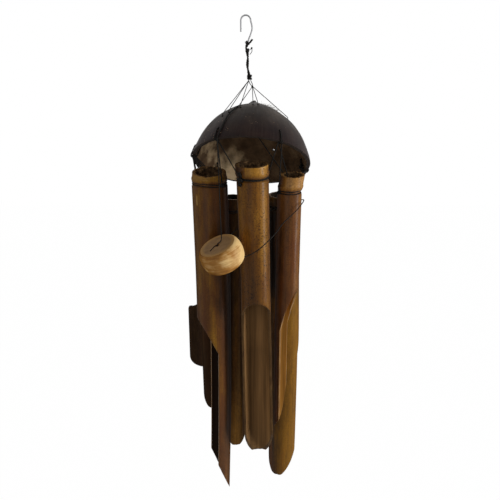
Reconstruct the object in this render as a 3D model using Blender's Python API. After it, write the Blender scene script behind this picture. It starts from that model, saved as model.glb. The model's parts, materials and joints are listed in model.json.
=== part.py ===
"""Bamboo wind chime: tongue-cut bamboo tubes under a coconut half shell, hung from a wire S-hook.

Metres, +Z up, the front faces -Y. The origin is the inside top of the hook's bend, by which it hangs.
"""

import math
from collections import namedtuple

import bmesh
import bpy
from mathutils import Matrix, Vector

MM = 0.001

# Clearance between pieces that touch on the real chime
GAP = 0.3 * MM

# Cords: radii of the doubled sling cord, the clapper's line, the thin canopy cords and the hanger cord
CORD_RADIUS = 0.8 * MM
LINE_RADIUS = 0.55 * MM
CANOPY_RADIUS = 0.4 * MM
HANGER_RADIUS = 1.3 * MM
LOOP_RADIUS = 1.0 * MM
CORD_SIDES = 8
ROUTE_STEP = 3.6 * MM

# S-hook: round wire, an open upper bend and a small lower eye
HOOK_WIRE_RADIUS = 0.9 * MM
HOOK_BEND_INNER = 3.7 * MM
HOOK_TAIL_LENGTH = 10.0 * MM
HOOK_EYE_INNER = 2.5 * MM
HOOK_EYE_X = 0.2 * MM
HOOK_EYE_DROP = 20.8 * MM
HOOK_BELLY_X = 6.0 * MM
HOOK_BELLY_DROP = 10.0 * MM
HOOK_ARC_POINTS = 9

# Knots on the hanger cord
HOOK_KNOT_RADIUS = 2.7 * MM
LOOP_FOOT_DROP = 1.2
GATHER_KNOT_RADIUS = 3.2 * MM
GATHER_KNOT_X = 3.5 * MM
GATHER_KNOT_DROP = 54.5 * MM
LOWER_KNOT_RADIUS = 2.5 * MM
LOWER_KNOT_X = 4.4 * MM
HANGER_BOW = 1.2 * MM

# Coconut half shell: a tilted hemisphere with a pointed end
SHELL_RADIUS = 59.5 * MM
SHELL_WALL = 3.5 * MM
SHELL_CENTRE = Vector((5.0 * MM, 0.0, -136.0 * MM))
SHELL_TILT_BACK = 31.0
SHELL_ROLL = 4.8
SHELL_SIDES = 32

# The shell's outer distance from its rim's centre, as a share of its radius, by degrees off its axis
SHELL_FORM = (
    (0, 1.143),
    (4, 1.085),
    (10, 1.029),
    (20, 0.973),
    (30, 0.948),
    (40, 0.933),
    (50, 0.928),
    (60, 0.931),
    (70, 0.945),
    (80, 0.968),
    (90, 1.0),
)

# Sling holes near the rim, by azimuth about the shell's own axis, and the canopy cords' smaller holes
SLING_HOLE_AZIMUTHS = (184.0, -126.5, -65.0, 10.0, 80.0, 132.0)
SLING_HOLE_HEIGHT = 12.0 * MM
SLING_HOLE_RADIUS = 2.0 * MM
SLING_SPREAD = 2.0 * MM
LASHING_CORNER = 1.6 * MM
LASHING_WALL = 1.1
CORD_HOLE_RADIUS = 1.5 * MM
HOLE_SIDES = 8

# Canopy cords: where each starts round the lower knot, and its hole's azimuth and polar angle in degrees
CANOPY_CORDS = (
    (130.0, -131.9, 57.2),
    (168.0, -125.2, 52.2),
    (-158.0, -112.5, 43.5),
    (-84.0, -94.9, 35.4),
    (-44.0, -86.1, 33.3),
    (-4.0, -34.0, 44.7),
)
CORD_HOLE_LEAD = 1.4 * MM
CORD_HOLE_DEPTH = 1.2 * MM

# A hole that no cord uses, in the back of the shell
SPARE_HOLE = (55.7, 53.6)

# Shell cord: the clapper's cord over the shell, as azimuth and polar angle in degrees
SHELL_CORD_START = -122.0
SHELL_CORD_ROUTE = (
    (-117.0, 46.0),
    (-120.0, 53.0),
    (-121.0, 61.0),
    (-121.4, 70.0),
    (-121.4, 79.0),
    (-121.2, 86.0),
    (-121.2, 90.0),
)
SHELL_CORD_LIFT = 1.0 * MM

# Bamboo tubes. holes: the two sling holes; share and outset: place along and outside their chord;
# drop: rim chord to tube top; drift and bow: how far the lower end leans and the middle bends; mouth:
# azimuth the cut faces; open: columns cut away each side of it; start and rise: the mouth's slanted cut;
# tip: how much the tongue's edges end above its tip; flat: how much of the tip is square
LONGEST_TUBE = 368.0 * MM
WIDEST_TUBE = 17.5 * MM
Tube = namedtuple(
    "Tube", "name holes share outset drop radius length tie drift bow mouth open start rise tip flat"
)
TUBES = (
    Tube("front_left", (0, 1), 0.617, -3.2 * MM, 23.6 * MM, WIDEST_TUBE, LONGEST_TUBE, 11.5 * MM,
         (-2.0 * MM, 0.0), (2.6 * MM, 0.0), -162.0, 6, 152.0 * MM, 36.0 * MM, 43.0 * MM, 0.0),
    Tube("front_middle", (1, 2), 0.569, -1.2 * MM, 19.5 * MM, 0.88 * WIDEST_TUBE, 0.88 * LONGEST_TUBE,
         14.5 * MM, (8.2 * MM, 0.0), (0.0, 0.0), -90.0, 6, 136.0 * MM, 18.0 * MM, 31.0 * MM, 0.13),
    Tube("front_right", (2, 3), 0.424, -2.8 * MM, 18.6 * MM, 0.686 * WIDEST_TUBE, 0.772 * LONGEST_TUBE,
         16.0 * MM, (0.0, 0.0), (-0.5 * MM, 0.0), -24.0, 7, 116.5 * MM, 34.5 * MM, 31.5 * MM, 0.0),
    Tube("rear_right", (3, 4), 0.487, 2.9 * MM, 15.4 * MM, 0.949 * WIDEST_TUBE, 0.951 * LONGEST_TUBE,
         15.0 * MM, (3.2 * MM, 0.0), (2.6 * MM, 0.0), 63.0, 6, 146.0 * MM, 43.0 * MM, 31.0 * MM, 0.06),
    Tube("rear_middle", (4, 5), 0.575, -0.6 * MM, 18.5 * MM, 0.743 * WIDEST_TUBE, 0.845 * LONGEST_TUBE,
         15.0 * MM, (0.0, 1.0 * MM), (0.0, 0.0), 100.0, 6, 130.0 * MM, 30.0 * MM, 30.0 * MM, 0.06),
    Tube("rear_left", (5, 0), 0.346, 0.5 * MM, 20.7 * MM, 0.714 * WIDEST_TUBE, 0.698 * LONGEST_TUBE,
         15.0 * MM, (5.0 * MM, -2.0 * MM), (0.0, 0.0), 85.0, 6, 115.0 * MM, 30.0 * MM, 30.0 * MM, 0.06),
)
TUBE_WALL = 3.0 * MM
TUBE_SIDES = 24
TONGUE_ROWS = (0.35, 0.7, 1.0)
SEPTUM_DEPTH = 7.0 * MM
SEPTUM_THICKNESS = 4.0 * MM
RIDGE_HEIGHT = 0.6 * MM
RIDGE_OFFSET = 5.0 * MM
RIDGE_HALF = 2.0 * MM
GROOVE_DEPTH = 1.2 * MM
GROOVE_FLAT = 1.3 * MM
GROOVE_SLOPE = 0.8 * MM

# Ties in the grooves
TIE_RADIUS = 0.9 * MM
TIE_KNOT_RADIUS = 1.8 * MM
TIE_NECK_RADIUS = 1.3 * MM
TIE_SIDES = 6

# Clapper: a turned puck on its knot, its axis given by the lean of its top face
CLAPPER_RADIUS = 21.0 * MM
CLAPPER_FACE_RADIUS = 17.0 * MM
CLAPPER_THICKNESS = 22.0 * MM
CLAPPER_HOLE_RADIUS = 2.0 * MM
CLAPPER_CENTRE = Vector((-22.0 * MM, -70.0 * MM, -211.5 * MM))
CLAPPER_AXIS = Vector((-0.37, -0.25, 0.892)).normalized()
CLAPPER_KNOT_RADIUS = 2.7 * MM
CLAPPER_SIDES = 28
CLAPPER_LAY = Vector((4.2, 3.3, 2.7)) * MM

# Tail cord: its route round the right-hand tube and through the bundle, after the clapper knot
TAIL_ROUTE = tuple(
    Vector(p) * MM
    for p in (
        (-8.0, -64.5, -220.5),
        (-1.7, -62.5, -217.0),
        (6.0, -61.0, -216.0),
        (12.0, -60.0, -213.5),
        (17.3, -58.0, -209.5),
        (28.6, -50.5, -196.5),
        (35.0, -44.0, -189.0),
        (43.0, -37.6, -183.0),
        (50.0, -35.0, -176.5),
        (54.5, -30.5, -172.0),
        (57.0, -22.0, -170.5),
        (56.0, -12.0, -172.0),
        (49.0, -1.0, -176.0),
        (36.0, 6.0, -183.0),
        (18.0, 12.0, -192.0),
        (0.0, 16.0, -203.0),
        (-14.0, 22.0, -215.0),
        (-24.0, 28.5, -226.0),
        (-28.6, 32.0, -232.0),
    )
)

# Sail: a slip of bamboo with rounded ends, bent a little across, hung behind the tubes
SAIL_WIDTH = 35.0 * MM
SAIL_HEIGHT = 81.0 * MM
SAIL_THICKNESS = 3.6 * MM
SAIL_BEND = 3.0 * MM
SAIL_CENTRE = Vector((-51.0 * MM, 50.0 * MM, -351.5 * MM))
SAIL_HOLE_RADIUS = 2.0 * MM
SAIL_HOLE_DOWN = 7.0 * MM
SAIL_COLUMNS = 8
SAIL_ROWS = 12
SAIL_ROUNDING = 6
SAIL_CORD_ROUTE = (Vector((-34.0, 37.5, -247.0)) * MM, Vector((-43.0, 43.5, -274.0)) * MM)
SAIL_CORD_LEAD = 5.0 * MM


def shell_distance(angle):
    """The shell's outer surface from its rim's centre, at an angle off its axis."""
    for (low, first), (high, second) in zip(SHELL_FORM, SHELL_FORM[1:]):
        if angle <= high:
            return SHELL_RADIUS * (first + (second - first) * (angle - low) / (high - low))
    return SHELL_RADIUS


def on_shell(azimuth, angle, lift):
    """A point over the shell's outer surface in its own frame, or under it where the lift is negative."""
    distance = shell_distance(angle) + lift
    across = distance * math.sin(math.radians(angle))
    turn = math.radians(azimuth)
    up = distance * math.cos(math.radians(angle))
    return Vector((across * math.cos(turn), across * math.sin(turn), up))


def wall_reach(height):
    """The shell's outer distance from its axis at a height over the rim."""
    rows = [on_shell(0.0, angle, 0.0) for angle, _ in reversed(SHELL_FORM)]
    for low, high in zip(rows, rows[1:]):
        if height <= high.z:
            return low.x + (high.x - low.x) * (height - low.z) / (high.z - low.z)
    return 0.0


def shell_frame():
    """The shell's own frame: centre of the rim plane, +Z out of the crown."""
    roll = Matrix.Rotation(math.radians(SHELL_ROLL), 4, "Y")
    tilt = Matrix.Rotation(math.radians(-SHELL_TILT_BACK), 4, "X")
    return Matrix.Translation(SHELL_CENTRE) @ roll @ tilt


def sling_top(hole, side):
    """Where a sling leaves a rim lashing: side +1 or -1 is its place along the rim."""
    turn = math.radians(SLING_HOLE_AZIMUTHS[hole])
    out = Vector((math.cos(turn), math.sin(turn), 0.0))
    along = Vector((-math.sin(turn), math.cos(turn), 0.0))
    below = GAP + CORD_RADIUS
    local = out * (SHELL_RADIUS - SHELL_WALL / 2) + along * side * SLING_SPREAD - Vector((0, 0, below))
    return shell_frame() @ local


def hinge_of(tube):
    """The two points that a tube swings on."""
    first, second = tube.holes
    return sling_top(first, 1), sling_top(second, -1)


def tube_frame(tube):
    """A tube's own frame: centre of its top, -Z down its axis."""
    start, end = hinge_of(tube)
    along = (end - start).to_2d().normalized()
    outward = Vector((along.y, -along.x, 0.0))
    top = start.lerp(end, tube.share) + outward * tube.outset - Vector((0, 0, tube.drop))
    lean = Vector((tube.drift[0], tube.drift[1], -tube.length)).normalized()
    turn = Vector((0, 0, -1)).rotation_difference(lean).to_matrix().to_4x4()
    return Matrix.Translation(top) @ turn


def material(name, colour, roughness, metallic=0.0):
    """A plain Principled material, made once."""
    made = bpy.data.materials.get(name)
    if made:
        return made
    made = bpy.data.materials.new(name)
    made.use_nodes = True
    made.diffuse_color = (*colour, 1.0)
    shader = made.node_tree.nodes["Principled BSDF"]
    shader.inputs["Base Color"].default_value = (*colour, 1.0)
    shader.inputs["Roughness"].default_value = roughness
    shader.inputs["Metallic"].default_value = metallic
    return made


def steel():
    return material("steel", (0.45, 0.45, 0.46), 0.35, 1.0)


def waxed_cord():
    return material("waxed_cord", (0.02, 0.018, 0.017), 0.7)


def coconut():
    return material("coconut", (0.06, 0.045, 0.04), 0.6)


def bamboo():
    return material("bamboo", (0.2, 0.1, 0.035), 0.35)


def pale_wood():
    return material("pale_wood", (0.55, 0.37, 0.18), 0.55)


def pivot_empty(name, place):
    """An empty on a joint's axis, to carry the pieces that move on it."""
    empty = bpy.data.objects.new(name, None)
    empty.empty_display_size = 0.01
    empty.location = place
    bpy.context.collection.objects.link(empty)
    return empty


def add_object(name, data, finish, carrier):
    """Link an object made in world places, and hang it on its carrier's empty."""
    data.materials.append(finish)
    made = bpy.data.objects.new(name, data)
    bpy.context.collection.objects.link(made)
    made.parent = carrier
    made.location = -carrier.location
    return made


def mesh_from(build, frame=Matrix()):
    """A mesh from a function that fills a bmesh, placed by a frame and faced outwards."""
    shape = bmesh.new()
    build(shape)
    bmesh.ops.recalc_face_normals(shape, faces=shape.faces)
    bmesh.ops.transform(shape, matrix=frame, verts=shape.verts)
    data = bpy.data.meshes.new("mesh")
    shape.to_mesh(data)
    shape.free()
    data.shade_smooth()
    data.set_sharp_from_angle(angle=math.radians(40))
    return data


def ring_of(shape, radius, height, sides, phase=0.0):
    """A ring of vertices about Z, or one vertex where the radius is nought."""
    if radius < 1e-7:
        return [shape.verts.new((0.0, 0.0, height))]
    step = 2 * math.pi / sides
    return [
        shape.verts.new((radius * math.cos(phase + k * step), radius * math.sin(phase + k * step), height))
        for k in range(sides)
    ]


def bridge(shape, first, second):
    """Faces between two rings of the same count, or a fan to a single vertex."""
    count = max(len(first), len(second))
    for k in range(count):
        following = (k + 1) % count
        corners = [
            first[k % len(first)],
            first[following % len(first)],
            second[following % len(second)],
            second[k % len(second)],
        ]
        shape.faces.new(list(dict.fromkeys(corners)))


def turned(profile, sides, closed=False):
    """A builder that turns a profile of (radius, height) about Z."""

    def build(shape):
        rings = [ring_of(shape, radius, height, sides) for radius, height in profile]
        for first, second in zip(rings, rings[1:]):
            if len(first) + len(second) > 2:
                bridge(shape, first, second)
        if closed:
            bridge(shape, rings[-1], rings[0])

    return build


def smooth_route(points, step=ROUTE_STEP):
    """Points along a smooth curve through the route's own points, about a step apart."""
    ends = [points[0] * 2 - points[1], *points, points[-1] * 2 - points[-2]]
    line = []
    for before, here, there, after in zip(ends, ends[1:], ends[2:], ends[3:]):
        count = max(1, round((there - here).length / step))
        for k in range(count):
            t = k / count
            line.append(
                0.5
                * (
                    2 * here
                    + (there - before) * t
                    + (2 * before - 5 * here + 4 * there - after) * t * t
                    + (3 * here - before - 3 * there + after) * t**3
                )
            )
    line.append(points[-1].copy())
    return line


def cord_data(name, points, radius, cyclic=False):
    """A round cord along points, as a curve with filled ends."""
    data = bpy.data.curves.new(name, "CURVE")
    data.dimensions = "3D"
    data.bevel_depth = radius
    data.bevel_resolution = CORD_SIDES // 2 - 2
    data.use_fill_caps = True
    data.render_resolution_u = 0
    spline = data.splines.new("POLY")
    spline.points.add(len(points) - 1)
    for spot, place in zip(spline.points, points):
        spot.co = (*place, 1.0)
    spline.use_cyclic_u = cyclic
    return data


def add_cord(name, points, radius, carrier, cyclic=False):
    return add_object(name, cord_data(name, points, radius, cyclic), waxed_cord(), carrier)


def knot_profile(radius):
    """A knot as a turned ball with a waist, from its top down."""
    rows = ((0.0, 1.0), (0.55, 0.84), (0.95, 0.4), (0.86, 0.0), (0.95, -0.4), (0.55, -0.84), (0.0, -1.0))
    return [(share * radius, height * radius) for share, height in rows]


def add_knot(name, centre, radius, carrier, axis=Vector((0, 0, 1)), sides=14):
    turn = Vector((0, 0, 1)).rotation_difference(axis).to_matrix().to_4x4()
    data = mesh_from(turned(knot_profile(radius), sides), Matrix.Translation(centre) @ turn)
    return add_object(name, data, waxed_cord(), carrier)


def add_cutter(name, holes, sides):
    """One hidden cutter of rods, each given by its two ends and its radius."""
    shape = bmesh.new()
    for start, end, radius in holes:
        turn = Vector((0, 0, 1)).rotation_difference(end - start).to_matrix().to_4x4()
        bmesh.ops.create_cone(
            shape,
            cap_ends=True,
            segments=sides,
            radius1=radius,
            radius2=radius,
            depth=(end - start).length,
            matrix=Matrix.Translation((start + end) / 2) @ turn,
        )
    data = bpy.data.meshes.new(name)
    shape.to_mesh(data)
    shape.free()
    cutter = bpy.data.objects.new(name, data)
    bpy.context.collection.objects.link(cutter)
    cutter.hide_render = True
    cutter.display_type = "WIRE"
    return cutter


def cut(piece, cutter):
    boolean = piece.modifiers.new("holes", "BOOLEAN")
    boolean.operation = "DIFFERENCE"
    boolean.object = cutter


def hook_eye_centre():
    return Vector((HOOK_EYE_X, 0.0, -HOOK_EYE_DROP))


def hook_seat():
    """The lowest point of the eye's wire, which the hanger loop hangs on."""
    return hook_eye_centre() - Vector((0, 0, HOOK_EYE_INNER + HOOK_WIRE_RADIUS))


def add_hook(carrier):
    """The S-hook: free leg, upper bend, belly, and the eye closed on itself but for a slit."""
    bend = HOOK_BEND_INNER + HOOK_WIRE_RADIUS
    bend_centre = Vector((0.0, 0.0, -HOOK_BEND_INNER))
    eye = HOOK_EYE_INNER + HOOK_WIRE_RADIUS
    route = [bend_centre + Vector((-bend, 0.0, -HOOK_TAIL_LENGTH))]
    for k in range(HOOK_ARC_POINTS):
        turn = math.pi * (1 - k / (HOOK_ARC_POINTS - 1))
        route.append(bend_centre + Vector((bend * math.cos(turn), 0.0, bend * math.sin(turn))))
    route.append(Vector((HOOK_BELLY_X, 0.0, -HOOK_BELLY_DROP)))
    eye_start, eye_end = math.radians(38), math.radians(-235)
    for k in range(HOOK_ARC_POINTS):
        turn = eye_start + (eye_end - eye_start) * k / (HOOK_ARC_POINTS - 1)
        route.append(hook_eye_centre() + Vector((eye * math.cos(turn), 0.0, eye * math.sin(turn))))
    data = cord_data("s_hook", smooth_route(route, 2 * HOOK_WIRE_RADIUS), HOOK_WIRE_RADIUS)
    return add_object("s_hook", data, steel(), carrier)


def loop_reach():
    """From the eye's wire to the middle of the loop that goes round it."""
    return HOOK_WIRE_RADIUS + GAP + LOOP_RADIUS


def hook_knot_centre():
    return hook_seat() - Vector((0, 0, LOOP_FOOT_DROP * loop_reach() + 2 * GAP + HOOK_KNOT_RADIUS))


def add_hanger_loop(carrier):
    """The cord that goes through the eye, round its wire, and into the hook knot at both ends."""
    seat, reach = hook_seat(), loop_reach()
    start, end = math.radians(-30), math.radians(210)
    turns = [start + (end - start) * k / 10 for k in range(11)]
    over = [seat + Vector((0.0, reach * math.cos(t), reach * math.sin(t))) for t in turns]
    aside = Vector((0.0, reach / 2, 0.0))
    foot = seat - Vector((0.0, 0.0, LOOP_FOOT_DROP * reach))
    return add_cord("hanger_loop", [foot + aside, *over, foot - aside], LOOP_RADIUS, carrier)


def gather_knot_centre():
    return Vector((GATHER_KNOT_X, 0.0, -GATHER_KNOT_DROP))


def lower_knot_centre():
    drop = GATHER_KNOT_RADIUS + GAP + LOWER_KNOT_RADIUS
    return Vector((LOWER_KNOT_X, 0.0, -GATHER_KNOT_DROP - drop))


def add_hanger_cord(carrier):
    start = hook_knot_centre() - Vector((0, 0, HOOK_KNOT_RADIUS + 2 * GAP))
    end = gather_knot_centre() + Vector((0, 0, GATHER_KNOT_RADIUS + GAP))
    middle = start.lerp(end, 0.5) + Vector((HANGER_BOW, 0.0, 0.0))
    return add_cord("hanger_cord", smooth_route([start, middle, end]), HANGER_RADIUS, carrier)


def shell_profile():
    """The shell's wall from the rim's outside over the crown and back to the rim's inside."""
    outer = [on_shell(0.0, angle, 0.0) for angle, _ in reversed(SHELL_FORM)]
    inner = [on_shell(0.0, angle, -SHELL_WALL) for angle, _ in SHELL_FORM]
    return [(place.x, place.z) for place in outer + inner]


def add_shell(carrier):
    frame = shell_frame()
    data = mesh_from(turned(shell_profile(), SHELL_SIDES, closed=True), frame)
    shell = add_object("coconut_shell", data, coconut(), carrier)
    holes = []
    for azimuth in SLING_HOLE_AZIMUTHS:
        turn = math.radians(azimuth)
        out = Vector((math.cos(turn), math.sin(turn), 0.0))
        place = out * wall_reach(SLING_HOLE_HEIGHT) + Vector((0.0, 0.0, SLING_HOLE_HEIGHT))
        inside = frame @ (place - out * 3 * SHELL_WALL)
        outside = frame @ (place + out * 2 * SHELL_WALL)
        holes.append((inside, outside, SLING_HOLE_RADIUS))
    drilled = [(*spec[1:], CORD_HOLE_RADIUS) for spec in CANOPY_CORDS]
    for azimuth, angle, radius in [*drilled, (*SPARE_HOLE, SLING_HOLE_RADIUS)]:
        inside = frame @ on_shell(azimuth, angle, -2 * SHELL_WALL)
        outside = frame @ on_shell(azimuth, angle, SHELL_WALL)
        holes.append((inside, outside, radius))
    cut(shell, add_cutter("shell_holes", holes, HOLE_SIDES))
    return shell


def knot_side(azimuth, radius):
    """Beside the lower knot, where a cord of this radius starts."""
    turn = math.radians(azimuth)
    away = LOWER_KNOT_RADIUS + GAP + radius
    return lower_knot_centre() + Vector((away * math.cos(turn), away * math.sin(turn), 0.0))


def canopy_cord_points(start_azimuth, azimuth, angle):
    """From the lower knot's side, straight to the shell, and down into its hole."""
    frame = shell_frame()
    start = knot_side(start_azimuth, CANOPY_RADIUS)
    lead = frame @ on_shell(azimuth, angle, CORD_HOLE_LEAD)
    end = frame @ on_shell(azimuth, angle, -CORD_HOLE_DEPTH)
    before = lead + (start - lead).normalized() * CORD_HOLE_LEAD
    after = lead.lerp(end, 0.5)
    return [start, before, (before + lead * 2 + after) / 4, after, end]


def shell_cord_points():
    """From the lower knot over the crown's left side, then on the shell's outside to its rim."""
    frame = shell_frame()
    start = knot_side(SHELL_CORD_START, CORD_RADIUS)
    lift = CORD_RADIUS + GAP
    route = [frame @ on_shell(*spot, lift) for spot in SHELL_CORD_ROUTE]
    route[0] = frame @ on_shell(*SHELL_CORD_ROUTE[0], lift + SHELL_CORD_LIFT)
    return smooth_route([start, start.lerp(route[0], 0.5), *route])


def lashing_points(azimuth):
    """A loop through a sling hole, down the wall's inside, under the rim and up its outside."""
    turn = math.radians(azimuth)
    out = Vector((math.cos(turn), math.sin(turn), 0.0))
    clear = GAP + CORD_RADIUS
    top, bottom = SLING_HOLE_HEIGHT, -clear
    flat = math.cos(math.pi / SHELL_SIDES)
    corners = (
        Vector((wall_reach(top) + clear, top)),
        Vector(((wall_reach(top) - LASHING_WALL * SHELL_WALL) * flat - clear - GAP, top)),
        Vector(((SHELL_RADIUS - SHELL_WALL) * flat - clear - GAP, bottom)),
        Vector((SHELL_RADIUS + clear, bottom)),
    )
    points = []
    for k, corner in enumerate(corners):
        before = corner + (corners[k - 1] - corner).normalized() * LASHING_CORNER
        after = corner + (corners[(k + 1) % 4] - corner).normalized() * LASHING_CORNER
        points += [before, corner.lerp((before + after) / 2, 0.58), after]
    frame = shell_frame()
    return [frame @ (out * across + Vector((0.0, 0.0, up))) for across, up in points]


def build_tube(tube):
    """A builder for one tube: septum cup, ridge, groove, slanted mouth and rounded tongue."""
    sides, outer, inner = TUBE_SIDES, tube.radius, tube.radius - TUBE_WALL
    phase = math.radians(tube.mouth)
    edge = tube.open
    groove, ridge = tube.tie, tube.tie - RIDGE_OFFSET
    half = GROOVE_FLAT + GROOVE_SLOPE
    rows = (
        (0.0, outer),
        (ridge - RIDGE_HALF, outer),
        (ridge, outer + RIDGE_HEIGHT),
        (ridge + RIDGE_HALF, outer),
        (groove - half, outer),
        (groove - GROOVE_FLAT, outer - GROOVE_DEPTH),
        (groove + GROOVE_FLAT, outer - GROOVE_DEPTH),
        (groove + half, outer),
    )

    def spot(shape, column, radius, depth):
        turn = phase + 2 * math.pi * column / sides
        down = max(0.0, depth - groove - half) / (tube.length - groove - half)
        bend = 4 * down * (1 - down)
        x = radius * math.cos(turn) + bend * tube.bow[0]
        y = radius * math.sin(turn) + bend * tube.bow[1]
        return shape.verts.new((x, y, -depth))

    def slope(column, radius):
        return radius / outer * math.cos(2 * math.pi * column / sides)

    def mouth_depth(column, radius):
        column = (column + sides // 2) % sides - sides // 2
        return tube.start + tube.rise * (1 - slope(max(-edge, min(edge, column)), radius))

    def tip_depth(column, radius):
        return tube.length - tube.tip * max(0.0, 1 + slope(column, radius) - tube.flat) / (1 - tube.flat)

    def build(shape):
        columns = range(sides)
        rings = [[spot(shape, k, radius, depth) for k in columns] for depth, radius in rows]
        middle = (groove + half + tube.start) / 2
        rings.append([spot(shape, k, outer, middle) for k in columns])
        rings.append([spot(shape, k, outer, mouth_depth(k, outer)) for k in columns])
        for first, second in zip(rings, rings[1:]):
            bridge(shape, first, second)
        cup = [[spot(shape, k, inner, depth) for k in columns] for depth in (0.0, SEPTUM_DEPTH)]
        bridge(shape, rings[0], cup[0])
        bridge(shape, cup[0], cup[1])
        bridge(shape, cup[1], [shape.verts.new((0.0, 0.0, -SEPTUM_DEPTH))])
        bore = [spot(shape, k, inner, SEPTUM_DEPTH + SEPTUM_THICKNESS) for k in columns]
        bridge(shape, bore, [shape.verts.new((0.0, 0.0, -SEPTUM_DEPTH - SEPTUM_THICKNESS))])
        bore_middle = [spot(shape, k, inner, middle) for k in columns]
        bore_end = [spot(shape, k, inner, mouth_depth(k, inner)) for k in columns]
        bridge(shape, bore, bore_middle)
        bridge(shape, bore_middle, bore_end)
        for k in range(-edge, edge):
            shape.faces.new((rings[-1][k], rings[-1][k + 1], bore_end[k + 1], bore_end[k]))
        tongue = range(edge, sides - edge + 1)
        skins, linings = [], []
        for share in TONGUE_ROWS:
            skin, lining = {}, {}
            for k in tongue:
                for line, radius in ((skin, outer), (lining, inner)):
                    start, end = mouth_depth(k, radius), tip_depth(k, radius)
                    line[k] = spot(shape, k, radius, start + (end - start) * share)
            skins.append(skin)
            linings.append(lining)
        skins.insert(0, rings[-1])
        linings.insert(0, bore_end)
        for lines in (skins, linings):
            for first, second in zip(lines, lines[1:]):
                for k in tongue[:-1]:
                    shape.faces.new((first[k], first[k + 1], second[k + 1], second[k]))
        for k in tongue[:-1]:
            shape.faces.new((skins[-1][k], skins[-1][k + 1], linings[-1][k + 1], linings[-1][k]))
        for k in (edge, sides - edge):
            for row in range(len(TONGUE_ROWS)):
                shape.faces.new((skins[row][k], linings[row][k], linings[row + 1][k], skins[row + 1][k]))

    return build


def tie_knot_columns(tube):
    """The tube columns that face the tube's two slings, where the tie's knots sit."""
    frame = tube_frame(tube)
    step = 2 * math.pi / TUBE_SIDES
    columns = []
    for point in hinge_of(tube):
        local = frame.inverted() @ point
        turn = math.atan2(local.y, local.x) - math.radians(tube.mouth)
        columns.append(round(turn / step) % TUBE_SIDES)
    return columns


def tie_section(tube, column, knots):
    """The tie's section radius at a column, and its centre's distance from the tube's axis."""
    apart = min(min((column - k) % TUBE_SIDES, (k - column) % TUBE_SIDES) for k in knots)
    if apart > 1:
        return TIE_RADIUS, tube.radius - GROOVE_DEPTH + GAP + TIE_RADIUS
    radius = TIE_KNOT_RADIUS if apart == 0 else TIE_NECK_RADIUS
    return radius, tube.radius + RIDGE_HEIGHT + GAP + radius


def build_tie(tube):
    """A builder for a tie: a cord ring in the groove that swells into a knot under each sling."""
    knots = tie_knot_columns(tube)

    def build(shape):
        sections = []
        for column in range(TUBE_SIDES):
            radius, distance = tie_section(tube, column, knots)
            turn = math.radians(tube.mouth) + 2 * math.pi * column / TUBE_SIDES
            section = []
            for k in range(TIE_SIDES):
                around = 2 * math.pi * k / TIE_SIDES
                reach = distance + radius * math.cos(around)
                height = radius * math.sin(around) - tube.tie
                section.append(shape.verts.new((reach * math.cos(turn), reach * math.sin(turn), height)))
            sections.append(section)
        for first, second in zip(sections, sections[1:] + sections[:1]):
            bridge(shape, first, second)

    return build


def sling_points(tube, end):
    """A sling from its rim lashing to the top of its knot on the tie."""
    top = hinge_of(tube)[end]
    column = tie_knot_columns(tube)[end]
    turn = math.radians(tube.mouth) + 2 * math.pi * column / TUBE_SIDES
    radius, distance = tie_section(tube, column, [column])
    foot = Vector((distance * math.cos(turn), distance * math.sin(turn), radius + 2 * GAP - tube.tie))
    return [top, tube_frame(tube) @ foot]


def add_tube_set(tube, carrier):
    frame = tube_frame(tube)
    add_object(f"tube_{tube.name}", mesh_from(build_tube(tube), frame), bamboo(), carrier)
    add_object(f"tie_{tube.name}", mesh_from(build_tie(tube), frame), waxed_cord(), carrier)
    for end, side in enumerate("ab"):
        add_cord(f"sling_{tube.name}_{side}", sling_points(tube, end), CORD_RADIUS, carrier)


def clapper_profile():
    """The clapper's section from its top hole edge round its rounded side to its bottom hole edge."""
    half = CLAPPER_THICKNESS / 2
    face, side = CLAPPER_FACE_RADIUS, CLAPPER_RADIUS
    return [
        (CLAPPER_HOLE_RADIUS, half),
        (face, half),
        (face + 0.55 * (side - face), 0.84 * half),
        (face + 0.9 * (side - face), 0.45 * half),
        (side, 0.0),
        (face + 0.9 * (side - face), -0.45 * half),
        (face + 0.55 * (side - face), -0.84 * half),
        (face, -half),
        (CLAPPER_HOLE_RADIUS, -half),
    ]


def clapper_knot_centre():
    return CLAPPER_CENTRE - CLAPPER_AXIS * (CLAPPER_THICKNESS / 2 + GAP + CLAPPER_KNOT_RADIUS)


def clapper_hinge():
    """Where the clapper's cord leaves the shell's rim."""
    end, before = shell_cord_points()[-1], shell_cord_points()[-2]
    return end + (end - before).normalized() * GAP


def clapper_cord_points():
    """From the rim down to the clapper's face, across it, and through its hole to its knot."""
    half = CLAPPER_THICKNESS / 2
    face = CLAPPER_CENTRE + CLAPPER_AXIS * (half + LINE_RADIUS + GAP)
    lay = CLAPPER_LAY - CLAPPER_AXIS * CLAPPER_LAY.dot(CLAPPER_AXIS)
    start, land = clapper_hinge(), face + lay
    rise = (start - land).normalized()
    turn = 2 * LINE_RADIUS
    into = CLAPPER_CENTRE + CLAPPER_AXIS * (half - turn)
    end = CLAPPER_CENTRE - CLAPPER_AXIS * (half - GAP)
    hang = smooth_route([start, start.lerp(land, 0.5), land + rise * 2 * turn])
    corner = (land + rise * turn + land - lay.normalized() * turn) / 2
    lying = [corner, land - lay.normalized() * 2 * turn, face + lay.normalized() * turn]
    return [*hang, *lying, (face + into) / 2, into, end]


def add_clapper(line, puck):
    add_cord("clapper_cord", clapper_cord_points(), LINE_RADIUS, line)
    add_knot("clapper_knot", clapper_knot_centre(), CLAPPER_KNOT_RADIUS, line, CLAPPER_AXIS)
    turn = Vector((0, 0, 1)).rotation_difference(CLAPPER_AXIS).to_matrix().to_4x4()
    frame = Matrix.Translation(CLAPPER_CENTRE) @ turn
    data = mesh_from(turned(clapper_profile(), CLAPPER_SIDES, closed=True), frame)
    add_object("clapper", data, pale_wood(), puck)


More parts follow.
